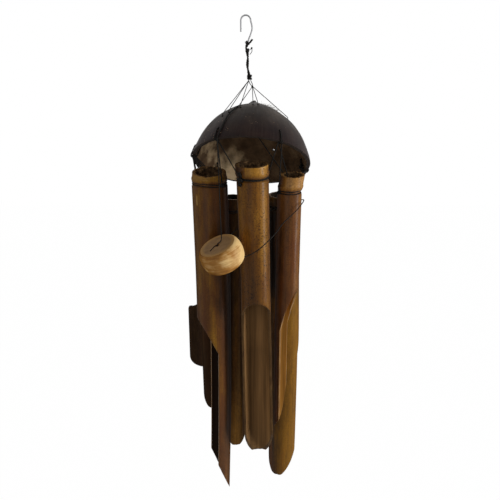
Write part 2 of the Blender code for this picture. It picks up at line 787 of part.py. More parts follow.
def tail_points():
    knot = clapper_knot_centre()
    leave = (TAIL_ROUTE[0] - knot).normalized()
    return smooth_route([knot + leave * (CLAPPER_KNOT_RADIUS + GAP), *TAIL_ROUTE])


def sail_hinge():
    """Where the sail's cord goes on from the tail cord."""
    return TAIL_ROUTE[-1] + (TAIL_ROUTE[-1] - TAIL_ROUTE[-2]).normalized() * GAP


def sail_hole_centre():
    return SAIL_CENTRE + Vector((0.0, 0.0, SAIL_HEIGHT / 2 - SAIL_HOLE_DOWN))


def build_sail(shape):
    """A rounded slip, hollow side to the tubes, as two skins joined round their edge."""
    skins = []
    for side in (-0.5, 0.5):
        grid = []
        for row in range(SAIL_ROWS + 1):
            up = math.sin(math.pi * (row / SAIL_ROWS - 0.5))
            half = SAIL_WIDTH / 2 * (1 - abs(up) ** SAIL_ROUNDING) ** (1 / SAIL_ROUNDING)
            half = max(half, SAIL_WIDTH / 4)
            line = []
            for column in range(SAIL_COLUMNS + 1):
                across = 2 * column / SAIL_COLUMNS - 1
                bend = SAIL_BEND * (half * across / (SAIL_WIDTH / 2)) ** 2
                line.append(
                    shape.verts.new((half * across, side * SAIL_THICKNESS - bend, up * SAIL_HEIGHT / 2))
                )
            grid.append(line)
        for low, high in zip(grid, grid[1:]):
            for k in range(SAIL_COLUMNS):
                shape.faces.new((low[k], low[k + 1], high[k + 1], high[k]))
        right = [line[-1] for line in grid[1:-1]]
        left = [line[0] for line in grid[-2:0:-1]]
        skins.append(grid[0] + right + grid[-1][::-1] + left)
    bridge(shape, *skins)


def add_sail(carrier):
    sail = add_object("sail", mesh_from(build_sail, Matrix.Translation(SAIL_CENTRE)), bamboo(), carrier)
    hole = sail_hole_centre()
    reach = Vector((0.0, 2 * SAIL_THICKNESS, 0.0))
    cut(sail, add_cutter("sail_hole", [(hole - reach, hole + reach, SAIL_HOLE_RADIUS)], HOLE_SIDES))
    lead = hole - Vector((0.0, SAIL_THICKNESS / 2 + SAIL_CORD_LEAD / 2, -SAIL_CORD_LEAD))
    points = [sail_hinge(), *SAIL_CORD_ROUTE, lead, hole]
    add_cord("sail_cord", smooth_route(points), LINE_RADIUS, carrier)


def main():
    for old in list(bpy.data.objects):
        bpy.data.objects.remove(old, do_unlink=True)
    root = pivot_empty("hang_point", Vector((0.0, 0.0, 0.0)))
    loop = pivot_empty("loop_pivot", hook_seat())
    hanger = pivot_empty("hanger_pivot", hook_knot_centre())
    canopy = pivot_empty("canopy_pivot", gather_knot_centre())
    add_hook(root)
    add_hanger_loop(loop)
    add_knot("hook_knot", hook_knot_centre(), HOOK_KNOT_RADIUS, loop)
    add_hanger_cord(hanger)
    add_knot("gathering_knot", gather_knot_centre(), GATHER_KNOT_RADIUS, hanger)
    add_knot("lower_knot", lower_knot_centre(), LOWER_KNOT_RADIUS, canopy)
    for number, spec in enumerate(CANOPY_CORDS, 1):
        add_cord(f"canopy_cord_{number}", canopy_cord_points(*spec), CANOPY_RADIUS, canopy)
    add_cord("shell_cord", shell_cord_points(), CORD_RADIUS, canopy)
    add_shell(canopy)
    for number, azimuth in enumerate(SLING_HOLE_AZIMUTHS, 1):
        add_cord(f"rim_lashing_{number}", lashing_points(azimuth), CORD_RADIUS, canopy, cyclic=True)
    for tube in TUBES:
        start, end = hinge_of(tube)
        add_tube_set(tube, pivot_empty(f"{tube.name}_pivot", start.lerp(end, 0.5)))
    line = pivot_empty("clapper_pivot", clapper_hinge())
    puck = pivot_empty("puck_pivot", CLAPPER_CENTRE)
    add_clapper(line, puck)
    add_cord("tail_cord", tail_points(), LINE_RADIUS, canopy)
    add_sail(pivot_empty("sail_pivot", sail_hinge()))


main()
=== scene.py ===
"""Looks of the bamboo wind chime: tongue-cut bamboo tubes slung under a coconut half shell on a wire hook.

Metres, +Z up, the front faces -Y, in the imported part's own frame.
"""

import json
import math
import random

import bmesh
import bpy
import numpy as np
from mathutils import Matrix, Vector, noise
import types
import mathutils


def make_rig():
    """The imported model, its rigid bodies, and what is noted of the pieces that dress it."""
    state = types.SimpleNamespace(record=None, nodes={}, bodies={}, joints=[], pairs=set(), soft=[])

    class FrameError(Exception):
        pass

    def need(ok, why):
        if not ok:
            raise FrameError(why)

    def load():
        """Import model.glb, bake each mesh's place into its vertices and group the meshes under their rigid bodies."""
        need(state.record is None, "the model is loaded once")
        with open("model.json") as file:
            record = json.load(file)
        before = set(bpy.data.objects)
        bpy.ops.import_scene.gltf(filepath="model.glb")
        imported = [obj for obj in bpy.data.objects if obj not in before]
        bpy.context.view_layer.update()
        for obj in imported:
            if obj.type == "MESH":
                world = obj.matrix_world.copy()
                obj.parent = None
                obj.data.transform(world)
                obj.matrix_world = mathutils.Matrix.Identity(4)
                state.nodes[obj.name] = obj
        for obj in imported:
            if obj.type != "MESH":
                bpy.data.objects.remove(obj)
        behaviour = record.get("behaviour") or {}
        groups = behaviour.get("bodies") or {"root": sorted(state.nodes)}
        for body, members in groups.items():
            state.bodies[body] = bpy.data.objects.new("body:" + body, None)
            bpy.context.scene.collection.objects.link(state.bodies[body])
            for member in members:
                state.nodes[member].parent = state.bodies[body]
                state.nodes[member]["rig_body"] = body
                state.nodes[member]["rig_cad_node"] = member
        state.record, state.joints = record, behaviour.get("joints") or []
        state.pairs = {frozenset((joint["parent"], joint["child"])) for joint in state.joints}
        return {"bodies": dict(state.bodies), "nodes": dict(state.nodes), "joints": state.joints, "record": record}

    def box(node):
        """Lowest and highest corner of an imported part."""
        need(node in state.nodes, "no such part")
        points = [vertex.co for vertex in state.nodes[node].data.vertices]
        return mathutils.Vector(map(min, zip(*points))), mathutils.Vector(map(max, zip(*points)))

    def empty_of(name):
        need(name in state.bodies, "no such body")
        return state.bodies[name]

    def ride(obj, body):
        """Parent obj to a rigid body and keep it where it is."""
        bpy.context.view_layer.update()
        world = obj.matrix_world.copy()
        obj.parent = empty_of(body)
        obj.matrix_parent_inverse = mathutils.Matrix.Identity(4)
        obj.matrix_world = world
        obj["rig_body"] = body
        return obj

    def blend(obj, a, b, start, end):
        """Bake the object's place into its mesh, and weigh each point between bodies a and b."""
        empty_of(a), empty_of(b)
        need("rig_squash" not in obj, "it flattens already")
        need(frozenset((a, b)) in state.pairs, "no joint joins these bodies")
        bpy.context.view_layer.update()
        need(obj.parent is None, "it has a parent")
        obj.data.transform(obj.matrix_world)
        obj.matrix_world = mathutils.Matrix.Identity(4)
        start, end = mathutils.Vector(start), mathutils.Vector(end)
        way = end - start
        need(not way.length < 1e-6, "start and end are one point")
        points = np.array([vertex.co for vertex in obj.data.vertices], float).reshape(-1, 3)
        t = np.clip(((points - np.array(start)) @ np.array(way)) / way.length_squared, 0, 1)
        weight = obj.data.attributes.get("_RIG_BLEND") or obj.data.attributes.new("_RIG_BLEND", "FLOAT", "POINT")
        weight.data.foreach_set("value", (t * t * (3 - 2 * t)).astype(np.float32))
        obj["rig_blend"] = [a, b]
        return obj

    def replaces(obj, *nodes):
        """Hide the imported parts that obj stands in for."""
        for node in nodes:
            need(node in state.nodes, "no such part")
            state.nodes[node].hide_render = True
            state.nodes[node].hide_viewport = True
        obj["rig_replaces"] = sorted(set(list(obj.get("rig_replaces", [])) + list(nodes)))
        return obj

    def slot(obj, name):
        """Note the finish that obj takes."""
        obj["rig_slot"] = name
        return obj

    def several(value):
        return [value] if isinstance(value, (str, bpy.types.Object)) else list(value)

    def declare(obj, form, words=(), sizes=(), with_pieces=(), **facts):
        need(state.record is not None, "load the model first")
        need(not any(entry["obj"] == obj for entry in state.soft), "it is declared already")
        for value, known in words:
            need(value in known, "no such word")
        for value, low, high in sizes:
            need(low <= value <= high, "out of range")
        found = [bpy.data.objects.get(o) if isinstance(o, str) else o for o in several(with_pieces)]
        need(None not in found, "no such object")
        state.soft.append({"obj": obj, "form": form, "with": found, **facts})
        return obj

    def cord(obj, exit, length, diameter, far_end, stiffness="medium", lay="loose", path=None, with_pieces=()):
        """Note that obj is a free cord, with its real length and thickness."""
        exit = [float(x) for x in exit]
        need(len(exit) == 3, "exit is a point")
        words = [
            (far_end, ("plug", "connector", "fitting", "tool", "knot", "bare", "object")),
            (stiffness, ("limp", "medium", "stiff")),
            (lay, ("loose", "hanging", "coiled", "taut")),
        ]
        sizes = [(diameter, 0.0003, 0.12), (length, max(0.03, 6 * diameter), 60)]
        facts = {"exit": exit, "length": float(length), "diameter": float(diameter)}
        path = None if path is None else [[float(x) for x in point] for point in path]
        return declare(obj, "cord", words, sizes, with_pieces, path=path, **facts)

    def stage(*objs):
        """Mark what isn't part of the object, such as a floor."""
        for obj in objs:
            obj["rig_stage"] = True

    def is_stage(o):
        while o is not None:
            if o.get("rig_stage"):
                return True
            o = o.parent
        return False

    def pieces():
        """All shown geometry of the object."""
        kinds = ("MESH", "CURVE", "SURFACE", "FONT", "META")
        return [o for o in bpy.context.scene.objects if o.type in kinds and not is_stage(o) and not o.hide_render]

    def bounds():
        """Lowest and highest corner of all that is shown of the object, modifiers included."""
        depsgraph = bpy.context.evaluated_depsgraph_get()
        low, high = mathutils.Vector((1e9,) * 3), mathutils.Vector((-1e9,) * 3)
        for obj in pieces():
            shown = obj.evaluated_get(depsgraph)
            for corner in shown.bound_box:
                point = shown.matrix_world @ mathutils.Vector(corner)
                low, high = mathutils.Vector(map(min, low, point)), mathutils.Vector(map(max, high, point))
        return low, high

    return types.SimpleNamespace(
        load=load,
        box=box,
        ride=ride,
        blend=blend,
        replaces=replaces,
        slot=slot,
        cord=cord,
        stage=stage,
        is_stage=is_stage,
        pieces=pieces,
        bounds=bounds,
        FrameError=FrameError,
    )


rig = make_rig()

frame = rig.load()
cad_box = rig.bounds()
MM = 0.001

# Camera: the photograph's own viewpoint, level with the shell's crown and looking down along the tubes,
# near enough that the long tubes spread and shorten towards their tips.
CAMERA_PLACE = Vector((4.0 * MM, -564.0 * MM, -56.0 * MM))
CAMERA_DOWN = math.radians(17.0)
CAMERA_LENS = 40.3
CAMERA_NEAR = 0.01


def add_object(name, data):
    """An object with its data, put into the scene."""
    made = bpy.data.objects.new(name, data)
    bpy.context.scene.collection.objects.link(made)
    return made


eye = bpy.data.cameras.new("camera")
eye.lens = CAMERA_LENS
eye.clip_start = CAMERA_NEAR
camera = add_object("camera", eye)
camera.location = CAMERA_PLACE
camera.rotation_euler = (math.pi / 2 - CAMERA_DOWN, 0.0, 0.0)
bpy.context.scene.camera = camera

# Stage: white surroundings, a white floor well under the chime, a broad window-like lamp at its right
# and a weaker one at its left. Camera, mirror and glass rays see plain white.
ROOM_LIGHT = 0.14
FLOOR_DROP = 1500.0 * MM
FLOOR_REACH = 12.0
FLOOR_SHOW = 0.996
FLOOR_PAINT = (0.9, 0.9, 0.9, 1.0)
WHITE = (1.0, 1.0, 1.0, 1.0)
CHIME_MIDDLE = Vector((0.0, 0.0, -260.0 * MM))
LAMPS = (
    ("window_lamp", Vector((1.21, -0.32, -0.12)), (0.24, 1.1), 14.0),
    ("left_lamp", Vector((-0.55, -1.20, -0.05)), (1.2, 1.2), 4.0),
)


def plug(tree, socket, value):
    """Give a socket a plain value, or link it to another node's output."""
    if isinstance(value, bpy.types.NodeSocket):
        tree.links.new(value, socket)
    else:
        socket.default_value = value


def add_node(tree, kind, inputs=None, **settings):
    """A node with its settings, and its inputs as plain values or links from other nodes' outputs."""
    made = tree.nodes.new(kind)
    for key, value in settings.items():
        setattr(made, key, value)
    for key, value in (inputs or {}).items():
        plug(tree, made.inputs[key], value)
    return made


def maths(tree, operation, first, second=0.0, third=0.0):
    made = add_node(tree, "ShaderNodeMath", {0: first, 1: second, 2: third}, operation=operation)
    return made.outputs[0]


def seen_rays(tree):
    """1 for camera, mirror and glass rays, and 0 for the rays that light other surfaces."""
    rays = add_node(tree, "ShaderNodeLightPath").outputs
    bright = maths(tree, "MAXIMUM", rays["Is Camera Ray"], rays["Is Glossy Ray"])
    return maths(tree, "MAXIMUM", bright, rays["Is Transmission Ray"])


def light_room():
    """White surroundings, and the lamps."""
    world = bpy.data.worlds.new("white_room")
    world.use_nodes = True
    tree = world.node_tree
    tree.nodes.clear()
    strength = maths(tree, "MULTIPLY_ADD", seen_rays(tree), 1.0 - ROOM_LIGHT, ROOM_LIGHT)
    glow = add_node(tree, "ShaderNodeBackground", {"Color": WHITE, "Strength": strength})
    add_node(tree, "ShaderNodeOutputWorld", {"Surface": glow.outputs[0]})
    bpy.context.scene.world = world
    for name, place, (width, height), power in LAMPS:
        data = bpy.data.lights.new(name, "AREA")
        data.shape = "RECTANGLE"
        data.size = width
        data.size_y = height
        data.energy = power
        lamp = add_object(name, data)
        lamp.location = place
        lamp.rotation_euler = (CHIME_MIDDLE - place).to_track_quat("-Z", "Y").to_euler()


def mesh_object(name, points, edges=(), faces=()):
    """A mesh object from its points, and its edges or faces."""
    data = bpy.data.meshes.new(name)
    data.from_pydata(points, edges, faces)
    return add_object(name, data)


def lay_floor():
    """A white floor that camera rays see at its full white."""
    finish = bpy.data.materials.new("white_floor")
    finish.use_nodes = True
    tree = finish.node_tree
    tree.nodes.clear()
    paint = add_node(tree, "ShaderNodeBsdfDiffuse", {"Color": FLOOR_PAINT})
    glow = add_node(tree, "ShaderNodeEmission", {"Color": WHITE, "Strength": 1.0})
    share = maths(tree, "MULTIPLY", seen_rays(tree), FLOOR_SHOW)
    both = add_node(tree, "ShaderNodeMixShader", {0: share, 1: paint.outputs[0], 2: glow.outputs[0]})
    add_node(tree, "ShaderNodeOutputMaterial", {"Surface": both.outputs[0]})
    reach = FLOOR_REACH / 2
    corners = [(-reach, -reach), (reach, -reach), (reach, reach), (-reach, reach)]
    floor = mesh_object("floor", [(x, y, -FLOOR_DROP) for x, y in corners], faces=[(0, 1, 2, 3)])
    floor.data.materials.append(finish)
    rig.stage(floor)


bpy.context.scene.view_settings.view_transform = "Standard"
light_room()
lay_floor()

# S-hook: galvanised steel wire, bent cold round a peg into an open upper bend and a small closed eye.
# It hangs by its open bend, and the whole chime hangs in its eye.
WIRE_RADIUS = 0.72 * MM
BEND_RADIUS = 4.6 * MM
BEND_DROP = 3.7 * MM
FREE_LEG = 10.0 * MM
BELLY = ((6.0, 0.0, -10.0), (4.9, 0.0, -15.0), (3.1, 0.0, -19.4))
HOOK_SEAT = Vector((0.2 * MM, 0.0, -24.2 * MM))
EYE_RADIUS = 1.2 * MM
EYE_ASIDE = 0.9 * MM
EYE_ARC = (25.0, -215.0)
WIRE_STEP = 0.5 * MM
SMOOTH_ANGLE = math.radians(42)


def new_finish(name):
    """An empty material, with its tree and its Principled shader linked to the output."""
    made = bpy.data.materials.new(name)
    made.use_nodes = True
    return made, made.node_tree, made.node_tree.nodes["Principled BSDF"]


def feed(tree, shader, **sockets):
    """Set or link a shader's sockets, written with underscores for spaces."""
    for key, value in sockets.items():
        plug(tree, shader.inputs[key.replace("_", " ")], value)


def object_spot(tree):
    return add_node(tree, "ShaderNodeTexCoord").outputs["Object"]


def noise_value(tree, scale, detail=3.0, seed=0.0, vector=None, roughness=0.55):
    """Four-dimensional noise over Object coordinates, or over a given vector, with its own seed."""
    vector = vector or object_spot(tree)
    inputs = {"Vector": vector, "W": seed, "Scale": scale, "Detail": detail, "Roughness": roughness}
    return add_node(tree, "ShaderNodeTexNoise", inputs, noise_dimensions="4D").outputs["Fac"]


def spread(tree, value, low, high, start=0.0, end=1.0):
    """A value's stretch from low to high, spread from start to end and held there outside it."""
    inputs = {"Value": value, "From Min": low, "From Max": high, "To Min": start, "To Max": end}
    return add_node(tree, "ShaderNodeMapRange", inputs).outputs["Result"]


def mix_colour(tree, factor, first, second, blend="MIX"):
    inputs = {0: factor, 6: first, 7: second}
    return add_node(tree, "ShaderNodeMix", inputs, data_type="RGBA", blend_type=blend).outputs[2]


def ramp(tree, value, stops):
    """A colour ramp through (place, colour) stops."""
    made = add_node(tree, "ShaderNodeValToRGB", {"Fac": value})
    elements = made.color_ramp.elements
    while len(elements) < len(stops):
        elements.new(0.5)
    for element, (place, colour) in zip(elements, stops):
        element.position = place
        element.color = (*colour, 1.0)
    return made.outputs["Color"]


def bump(tree, height, distance, strength=1.0):
    inputs = {"Height": height, "Distance": distance, "Strength": strength}
    return add_node(tree, "ShaderNodeBump", inputs).outputs["Normal"]


def steel_finish():
    made, tree, shader = new_finish("galvanised_wire")
    cloud = noise_value(tree, 900.0, seed=3.0)
    colour = ramp(tree, cloud, ((0.3, (0.16, 0.16, 0.165)), (0.7, (0.30, 0.30, 0.305))))
    rough = spread(tree, cloud, 0.3, 0.7, 0.34, 0.5)
    feed(tree, shader, Base_Color=colour, Roughness=rough, Metallic=1.0)
    feed(tree, shader, Normal=bump(tree, noise_value(tree, 1500.0, seed=4.0), 0.01 * MM))
    return made


def plain_mesh(source, name):
    """An object's evaluated shape as a plain mesh object, in place of the object."""
    bpy.context.view_layer.update()
    evaluated = source.evaluated_get(bpy.context.evaluated_depsgraph_get())
    shape = bpy.data.meshes.new_from_object(evaluated)
    bpy.data.objects.remove(source)
    return add_object(name, shape)


def shade(piece):
    """Round faces shaded smooth, with the sharper edges kept."""
    piece.data.shade_smooth()
    piece.data.set_sharp_from_angle(angle=SMOOTH_ANGLE)
    return piece


def fix(piece, body, *nodes, slot="waxed_cord"):
    """Ride a piece on its body, in place of CAD nodes where it has them, with its finish's slot."""
    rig.ride(piece, body)
    if nodes:
        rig.replaces(piece, *nodes)
    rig.slot(piece, slot)


def in_mm(places):
    """Points that are given in millimetres."""
    return [Vector(place) * MM for place in places]


def smooth_route(points, step=1.5 * MM):
    """Points along a smooth curve through the route's own points, about a step apart."""
    ends = [points[0] * 2 - points[1], *points, points[-1] * 2 - points[-2]]
    line = []
    for before, here, there, after in zip(ends, ends[1:], ends[2:], ends[3:]):
        count = max(1, round((there - here).length / step))
        for k in range(count):
            t = k / count
            bend = 2 * before - 5 * here + 4 * there - after
            swing = 3 * here - before - 3 * there + after
            line.append(0.5 * (2 * here + (there - before) * t + bend * t * t + swing * t**3))
    line.append(points[-1].copy())
    return line


def arc(centre, radius, start, end, count=13):
    """Points round a centre in the plane of the hook, from one angle to another."""
    turns = [math.radians(start + (end - start) * k / (count - 1)) for k in range(count)]
    return [centre + Vector((radius * math.cos(turn), 0.0, radius * math.sin(turn))) for turn in turns]


def bend_hook():
    """The wire's free leg, open bend, belly and eye, swept round."""
    bend = Vector((0.0, 0.0, -BEND_DROP))
    free_end = bend - Vector((BEND_RADIUS, 0.0, FREE_LEG))
    eye_centre = HOOK_SEAT + Vector((EYE_ASIDE, 0.0, EYE_RADIUS))
    eye_turn = arc(eye_centre, EYE_RADIUS, *EYE_ARC)
    route = [free_end, *arc(bend, BEND_RADIUS, 180.0, 0.0), *in_mm(BELLY), *eye_turn]
    line = smooth_route(route, WIRE_STEP)
    data = bpy.data.curves.new("wire_hook", "CURVE")
    data.dimensions = "3D"
    data.bevel_depth = WIRE_RADIUS
    data.bevel_resolution = 4
    data.use_fill_caps = True
    wire = data.splines.new("POLY")
    wire.points.add(len(line) - 1)
    for point, spot in zip(wire.points, line):
        point.co = (*spot, 1.0)
    return plain_mesh(add_object("wire_route", data), "wire_hook")


hook = bend_hook()
hook.data.materials.append(steel_finish())
fix(shade(hook), "hook", "s_hook", slot="steel")

# Waxed cord: black polyester thread of three strands, laid up and waxed, in several thicknesses.
# One length of it is a path of points, swept with a fluted section that turns as the strands do.
STRANDS = 3
FLUTE = 0.14
SECTION_POINTS = 12
LAY_TURN = 7.0
SWEEP_STEP = 0.9


def new_tree(name, kind, inputs, outputs):
    """An empty node tree with its named sockets, and what its inputs give."""
    tree = bpy.data.node_groups.new(name, kind)
    for side, sockets in (("INPUT", inputs), ("OUTPUT", outputs)):
        for label, holds in sockets.items():
            tree.interface.new_socket(label, in_out=side, socket_type=f"NodeSocket{holds}")
    return tree, add_node(tree, "NodeGroupInput").outputs


def vector_maths(tree, operation, first, second=None):
    """A vector, or a value where the operation gives one. SCALE takes a plain value as its second."""
    made = add_node(tree, "ShaderNodeVectorMath", {0: first}, operation=operation)
    if second is not None:
        plug(tree, made.inputs["Scale" if operation == "SCALE" else 1], second)
    return made.outputs["Value" if operation in ("DOT_PRODUCT", "DISTANCE", "LENGTH") else "Vector"]


def sweep_section(tree, curve, section):
    """A closed section swept along curves, with its ends filled."""
    inputs = {"Curve": curve, "Profile Curve": section, "Fill Caps": True}
    return add_node(tree, "GeometryNodeCurveToMesh", inputs).outputs["Mesh"]


def real_mesh(tree, shape, finish):
    """A tree's last two steps: real geometry in place of instances, and its finish."""
    real = add_node(tree, "GeometryNodeRealizeInstances", {"Geometry": shape}).outputs["Geometry"]
    inputs = {"Geometry": real, "Material": finish}
    return add_node(tree, "GeometryNodeSetMaterial", inputs).outputs["Geometry"]


def build_laid_cord():
    """Geometry nodes: edges to curves, evenly spaced, twisted, and swept with a fluted section."""
    inputs = {"Paths": "Geometry", "Radius": "Float", "Lay": "Float", "Step": "Float", "Finish": "Material"}
    tree, given = new_tree("laid_cord", "GeometryNodeTree", inputs, {"Cord": "Geometry"})
    curve = add_node(tree, "GeometryNodeMeshToCurve", {"Mesh": given["Paths"]}).outputs["Curve"]
    spacing = {"Curve": curve, "Length": given["Step"]}
    even = add_node(tree, "GeometryNodeResampleCurve", spacing, mode="LENGTH").outputs["Curve"]
    along = add_node(tree, "GeometryNodeSplineParameter").outputs["Length"]
    turns = maths(tree, "MULTIPLY", maths(tree, "DIVIDE", along, given["Lay"]), 2 * math.pi)
    twisted = add_node(tree, "GeometryNodeSetCurveTilt", {"Curve": even, "Tilt": turns}).outputs["Curve"]
    form = {"Resolution": SECTION_POINTS, "Radius": 1.0}
    circle = add_node(tree, "GeometryNodeCurvePrimitiveCircle", form).outputs["Curve"]
    index = add_node(tree, "GeometryNodeInputIndex").outputs[0]
    round_turn = maths(tree, "MULTIPLY", index, 2 * math.pi * STRANDS / SECTION_POINTS)
    flute = maths(tree, "MULTIPLY_ADD", maths(tree, "COSINE", round_turn), FLUTE, 1.0 - FLUTE)
    size = maths(tree, "MULTIPLY", flute, given["Radius"])
    spot = add_node(tree, "GeometryNodeInputPosition").outputs[0]
    fluted = {"Geometry": circle, "Position": vector_maths(tree, "SCALE", spot, size)}
    section = add_node(tree, "GeometryNodeSetPosition", fluted).outputs["Geometry"]
    cord = real_mesh(tree, sweep_section(tree, twisted, section), given["Finish"])
    add_node(tree, "NodeGroupOutput", {"Cord": cord})
    return tree


def set_inputs(modifier, **values):
    """Give a geometry nodes modifier its inputs, by the names that its tree shows."""
    for item in modifier.node_group.interface.items_tree:
        if item.in_out == "INPUT" and item.name in values:
            modifier[item.identifier] = values[item.name]


def cord_finish():
    made, tree, shader = new_finish("black_waxed_cord")
    wax = noise_value(tree, 700.0, seed=1.0)
    colour = ramp(tree, wax, ((0.35, (0.008, 0.0075, 0.007)), (0.7, (0.028, 0.025, 0.022))))
    feed(tree, shader, Base_Color=colour, Roughness=spread(tree, wax, 0.3, 0.7, 0.42, 0.65))
    feed(tree, shader, Specular_IOR_Level=0.06)
    feed(tree, shader, Normal=bump(tree, noise_value(tree, 3000.0, seed=2.0), 0.05 * MM))
    return made


LAID_CORD = build_laid_cord()
WAXED_CORD = cord_finish()


def lay_cord(name, routes, radius, closed=False):
    """A piece of cord along one route or several, open or closed."""
    points, edges = [], []
    for route in routes:
        first = len(points)
        points += [tuple(place) for place in route]
        edges += [(k, k + 1) for k in range(first, len(points) - 1)]
        if closed:
            edges.append((len(points) - 1, first))
    source = mesh_object(f"{name}_paths", points, edges)
    sweep = source.modifiers.new("laid_cord", "NODES")
    sweep.node_group = LAID_CORD
    set_inputs(sweep, Radius=radius, Lay=LAY_TURN * radius, Step=SWEEP_STEP * radius, Finish=WAXED_CORD)
    piece = plain_mesh(source, name)
    piece.data.shade_smooth()
    return piece


def from_bmesh(shape, name):
    """A worked shape as a mesh object."""
    data = bpy.data.meshes.new(name)
    shape.to_mesh(data)
    shape.free()
    return add_object(name, data)


def joined(name, pieces):
    """Several cords as one piece."""
    shape = bmesh.new()
    for piece in pieces:
        shape.from_mesh(piece.data)
        bpy.data.objects.remove(piece)
    made = from_bmesh(shape, name)
    made.data.materials.append(WAXED_CORD)
    made.data.shade_smooth()
    return made


# Knots: overhand knots drawn tight, each two fat turns of the cord locked in each other.
# They are worked out as trefoils, stacked along the cord, that fill the room of the CAD knot.
KNOT_CORD = 0.31
KNOT_SPAN = (1.0 - KNOT_CORD) / 3.0
KNOT_POINTS = 40
KNOT_STACK = 0.40
KNOT_LAYERS = 2


def frame_along(axis):
    return Vector((0, 0, 1)).rotation_difference(Vector(axis)).to_matrix().to_4x4()


def tie_knot(name, centre, radius, axis=(0, 0, 1)):
    """A knot about its centre: closed turns of the cord, stacked along an axis."""
    place = Matrix.Translation(centre) @ frame_along(axis)
    loops = []
    for layer in range(KNOT_LAYERS):
        lift = KNOT_STACK * radius * (2 * layer - KNOT_LAYERS + 1)
        loop = []
        for k in range(KNOT_POINTS):
            t = 2 * math.pi * k / KNOT_POINTS
            x = math.sin(t) + 2 * math.sin(2 * t)
            y = math.cos(t) - 2 * math.cos(2 * t)
            spot = Vector((x, y, -math.sin(3 * t)))
            spot.rotate(Matrix.Rotation(layer * math.pi / 3, 3, "Z"))
            loop.append(place @ (spot * radius * KNOT_SPAN + Vector((0.0, 0.0, lift))))
        loops.append(loop)
    return lay_cord(name, loops, KNOT_CORD * radius, closed=True)


def middle_of(node):
    low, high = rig.box(node)
    return (low + high) / 2


# Hanger loop, hook knot and hanger cord: the cord goes through the hook's eye, is knotted under it, and
# runs doubled to the gathering knot. The cut ends stand out from the hook knot.
LOOP_RADIUS = 1.1 * MM
LOOP_REACH = 2.0 * MM
LOOP_FOOT = 2.64 * MM
LOOP_ARC = range(-30, 211, 12)
HOOK_KNOT_RADIUS = 2.2 * MM
HOOK_KNOT_SHIFT = Vector((1.2, 0.0, 0.0)) * MM
GATHER_KNOT_RADIUS = 2.9 * MM
LOWER_KNOT_RADIUS = 1.2 * MM
HANGER_STRAND_RADIUS = 0.95 * MM
HANGER_STRAND_APART = 0.55 * MM
HANGER_ROUTE = ((1.4, 0.0, -31.6), (1.9, 0.0, -37.0), (1.6, 0.0, -44.5), (3.1, 0.0, -52.5))
HANGER_TWISTS = 1.0
HANGER_BEND = ((1.5, 0.0, -33.0), (1.9, 0.0, -39.0))
THICK_END = ((0.0, -2.0, 4.4), (1.6, -2.2, 6.0), (3.1, -2.4, 7.6), (4.9, -2.4, 9.8))
THICK_TURN = ((1.6, -1.8, 6.2), (-0.5, -2.4, 4.9), (-1.1, -2.4, 2.6), (-0.4, -2.2, 0.4), (0.6, -1.2, -1.2))
THICK_END_RADIUS = 1.05 * MM
BEAD_KNOT = (4.2, -2.2, 1.9)
BEAD_KNOT_RADIUS = 1.0 * MM
THIN_ENDS = (
    ((0.6, -1.5, -0.6), (2.6, -2.4, 0.6), BEAD_KNOT),
    (BEAD_KNOT, (4.5, -2.2, -0.8), (3.4, -2.7, -2.6), (2.4, -2.7, -3.8)),
)
THIN_END_RADIUS = 0.36 * MM
LOWER_KNOT = (1.8, 0.0, -2.7)
LOWER_SHIFT = Vector(LOWER_KNOT) * MM
LOWER_LINKS = (
    ((-1.6, -0.4, 3.0), (-0.7, -1.0, 0.6), (0.6, -0.6, -1.2), LOWER_KNOT),
    ((0.2, 0.4, 3.2), (1.2, 0.6, 1.2), (2.0, 0.4, -0.8), LOWER_KNOT),
)
LINK_RADIUS = 0.42 * MM
FINE_STEP = 0.5 * MM
FINEST_STEP = 0.4 * MM


def hang_loop():
    seat = HOOK_SEAT + Vector((EYE_ASIDE, 0.0, 0.0))
    turns = [math.radians(angle) for angle in LOOP_ARC]
    over = [seat + Vector((0.0, LOOP_REACH * math.cos(t), LOOP_REACH * math.sin(t))) for t in turns]
    aside = Vector((0.0, LOOP_REACH / 2, 0.0))
    foot = seat - Vector((0.0, 0.0, LOOP_FOOT))
    route = smooth_route([foot + aside, *over, foot - aside], FINE_STEP)
    fix(lay_cord("hanger_loop_cord", [route], LOOP_RADIUS), "hanger_loop", "hanger_loop")


def around(centre, places):
    """A smooth route through places given in millimetres about a centre."""
    return smooth_route([centre + spot for spot in in_mm(places)], FINEST_STEP)


def hang_hook_knot():
    """The knot, its thick cut end, and a thin end that is knotted again and comes back to the cord."""
    centre = middle_of("hook_knot") + HOOK_KNOT_SHIFT
    knot = tie_knot("hook_knot_turns", centre, HOOK_KNOT_RADIUS)
    ends = [around(centre, way) for way in (THICK_TURN, THICK_END)]
    thick = lay_cord("hook_knot_end", ends, THICK_END_RADIUS)
    thin = lay_cord("hook_knot_threads", [around(centre, end) for end in THIN_ENDS], THIN_END_RADIUS)
    bead = tie_knot("hook_bead_knot", centre + Vector(BEAD_KNOT) * MM, BEAD_KNOT_RADIUS)
    fix(joined("hook_knot_cord", [knot, thick, thin, bead]), "hanger_loop", "hook_knot")


def hang_cord():
    """Two strands laid round each other between the two knots."""
    centre_line = smooth_route(in_mm(HANGER_ROUTE), FINE_STEP)
    strands = []
    for side in (0.0, math.pi):
        strand = []
        for k, spot in enumerate(centre_line):
            turn = side + 2 * math.pi * HANGER_TWISTS * k / (len(centre_line) - 1)
            strand.append(spot + Vector((math.cos(turn), math.sin(turn), 0.0)) * HANGER_STRAND_APART)
        strands.append(strand)
    cord = lay_cord("hanger_cord_strands", strands, HANGER_STRAND_RADIUS)
    bend_start, bend_end = in_mm(HANGER_BEND)
    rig.blend(cord, "hanger_loop", "hanger", start=bend_start, end=bend_end)
    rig.replaces(cord, "hanger_cord")
    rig.slot(cord, "waxed_cord")


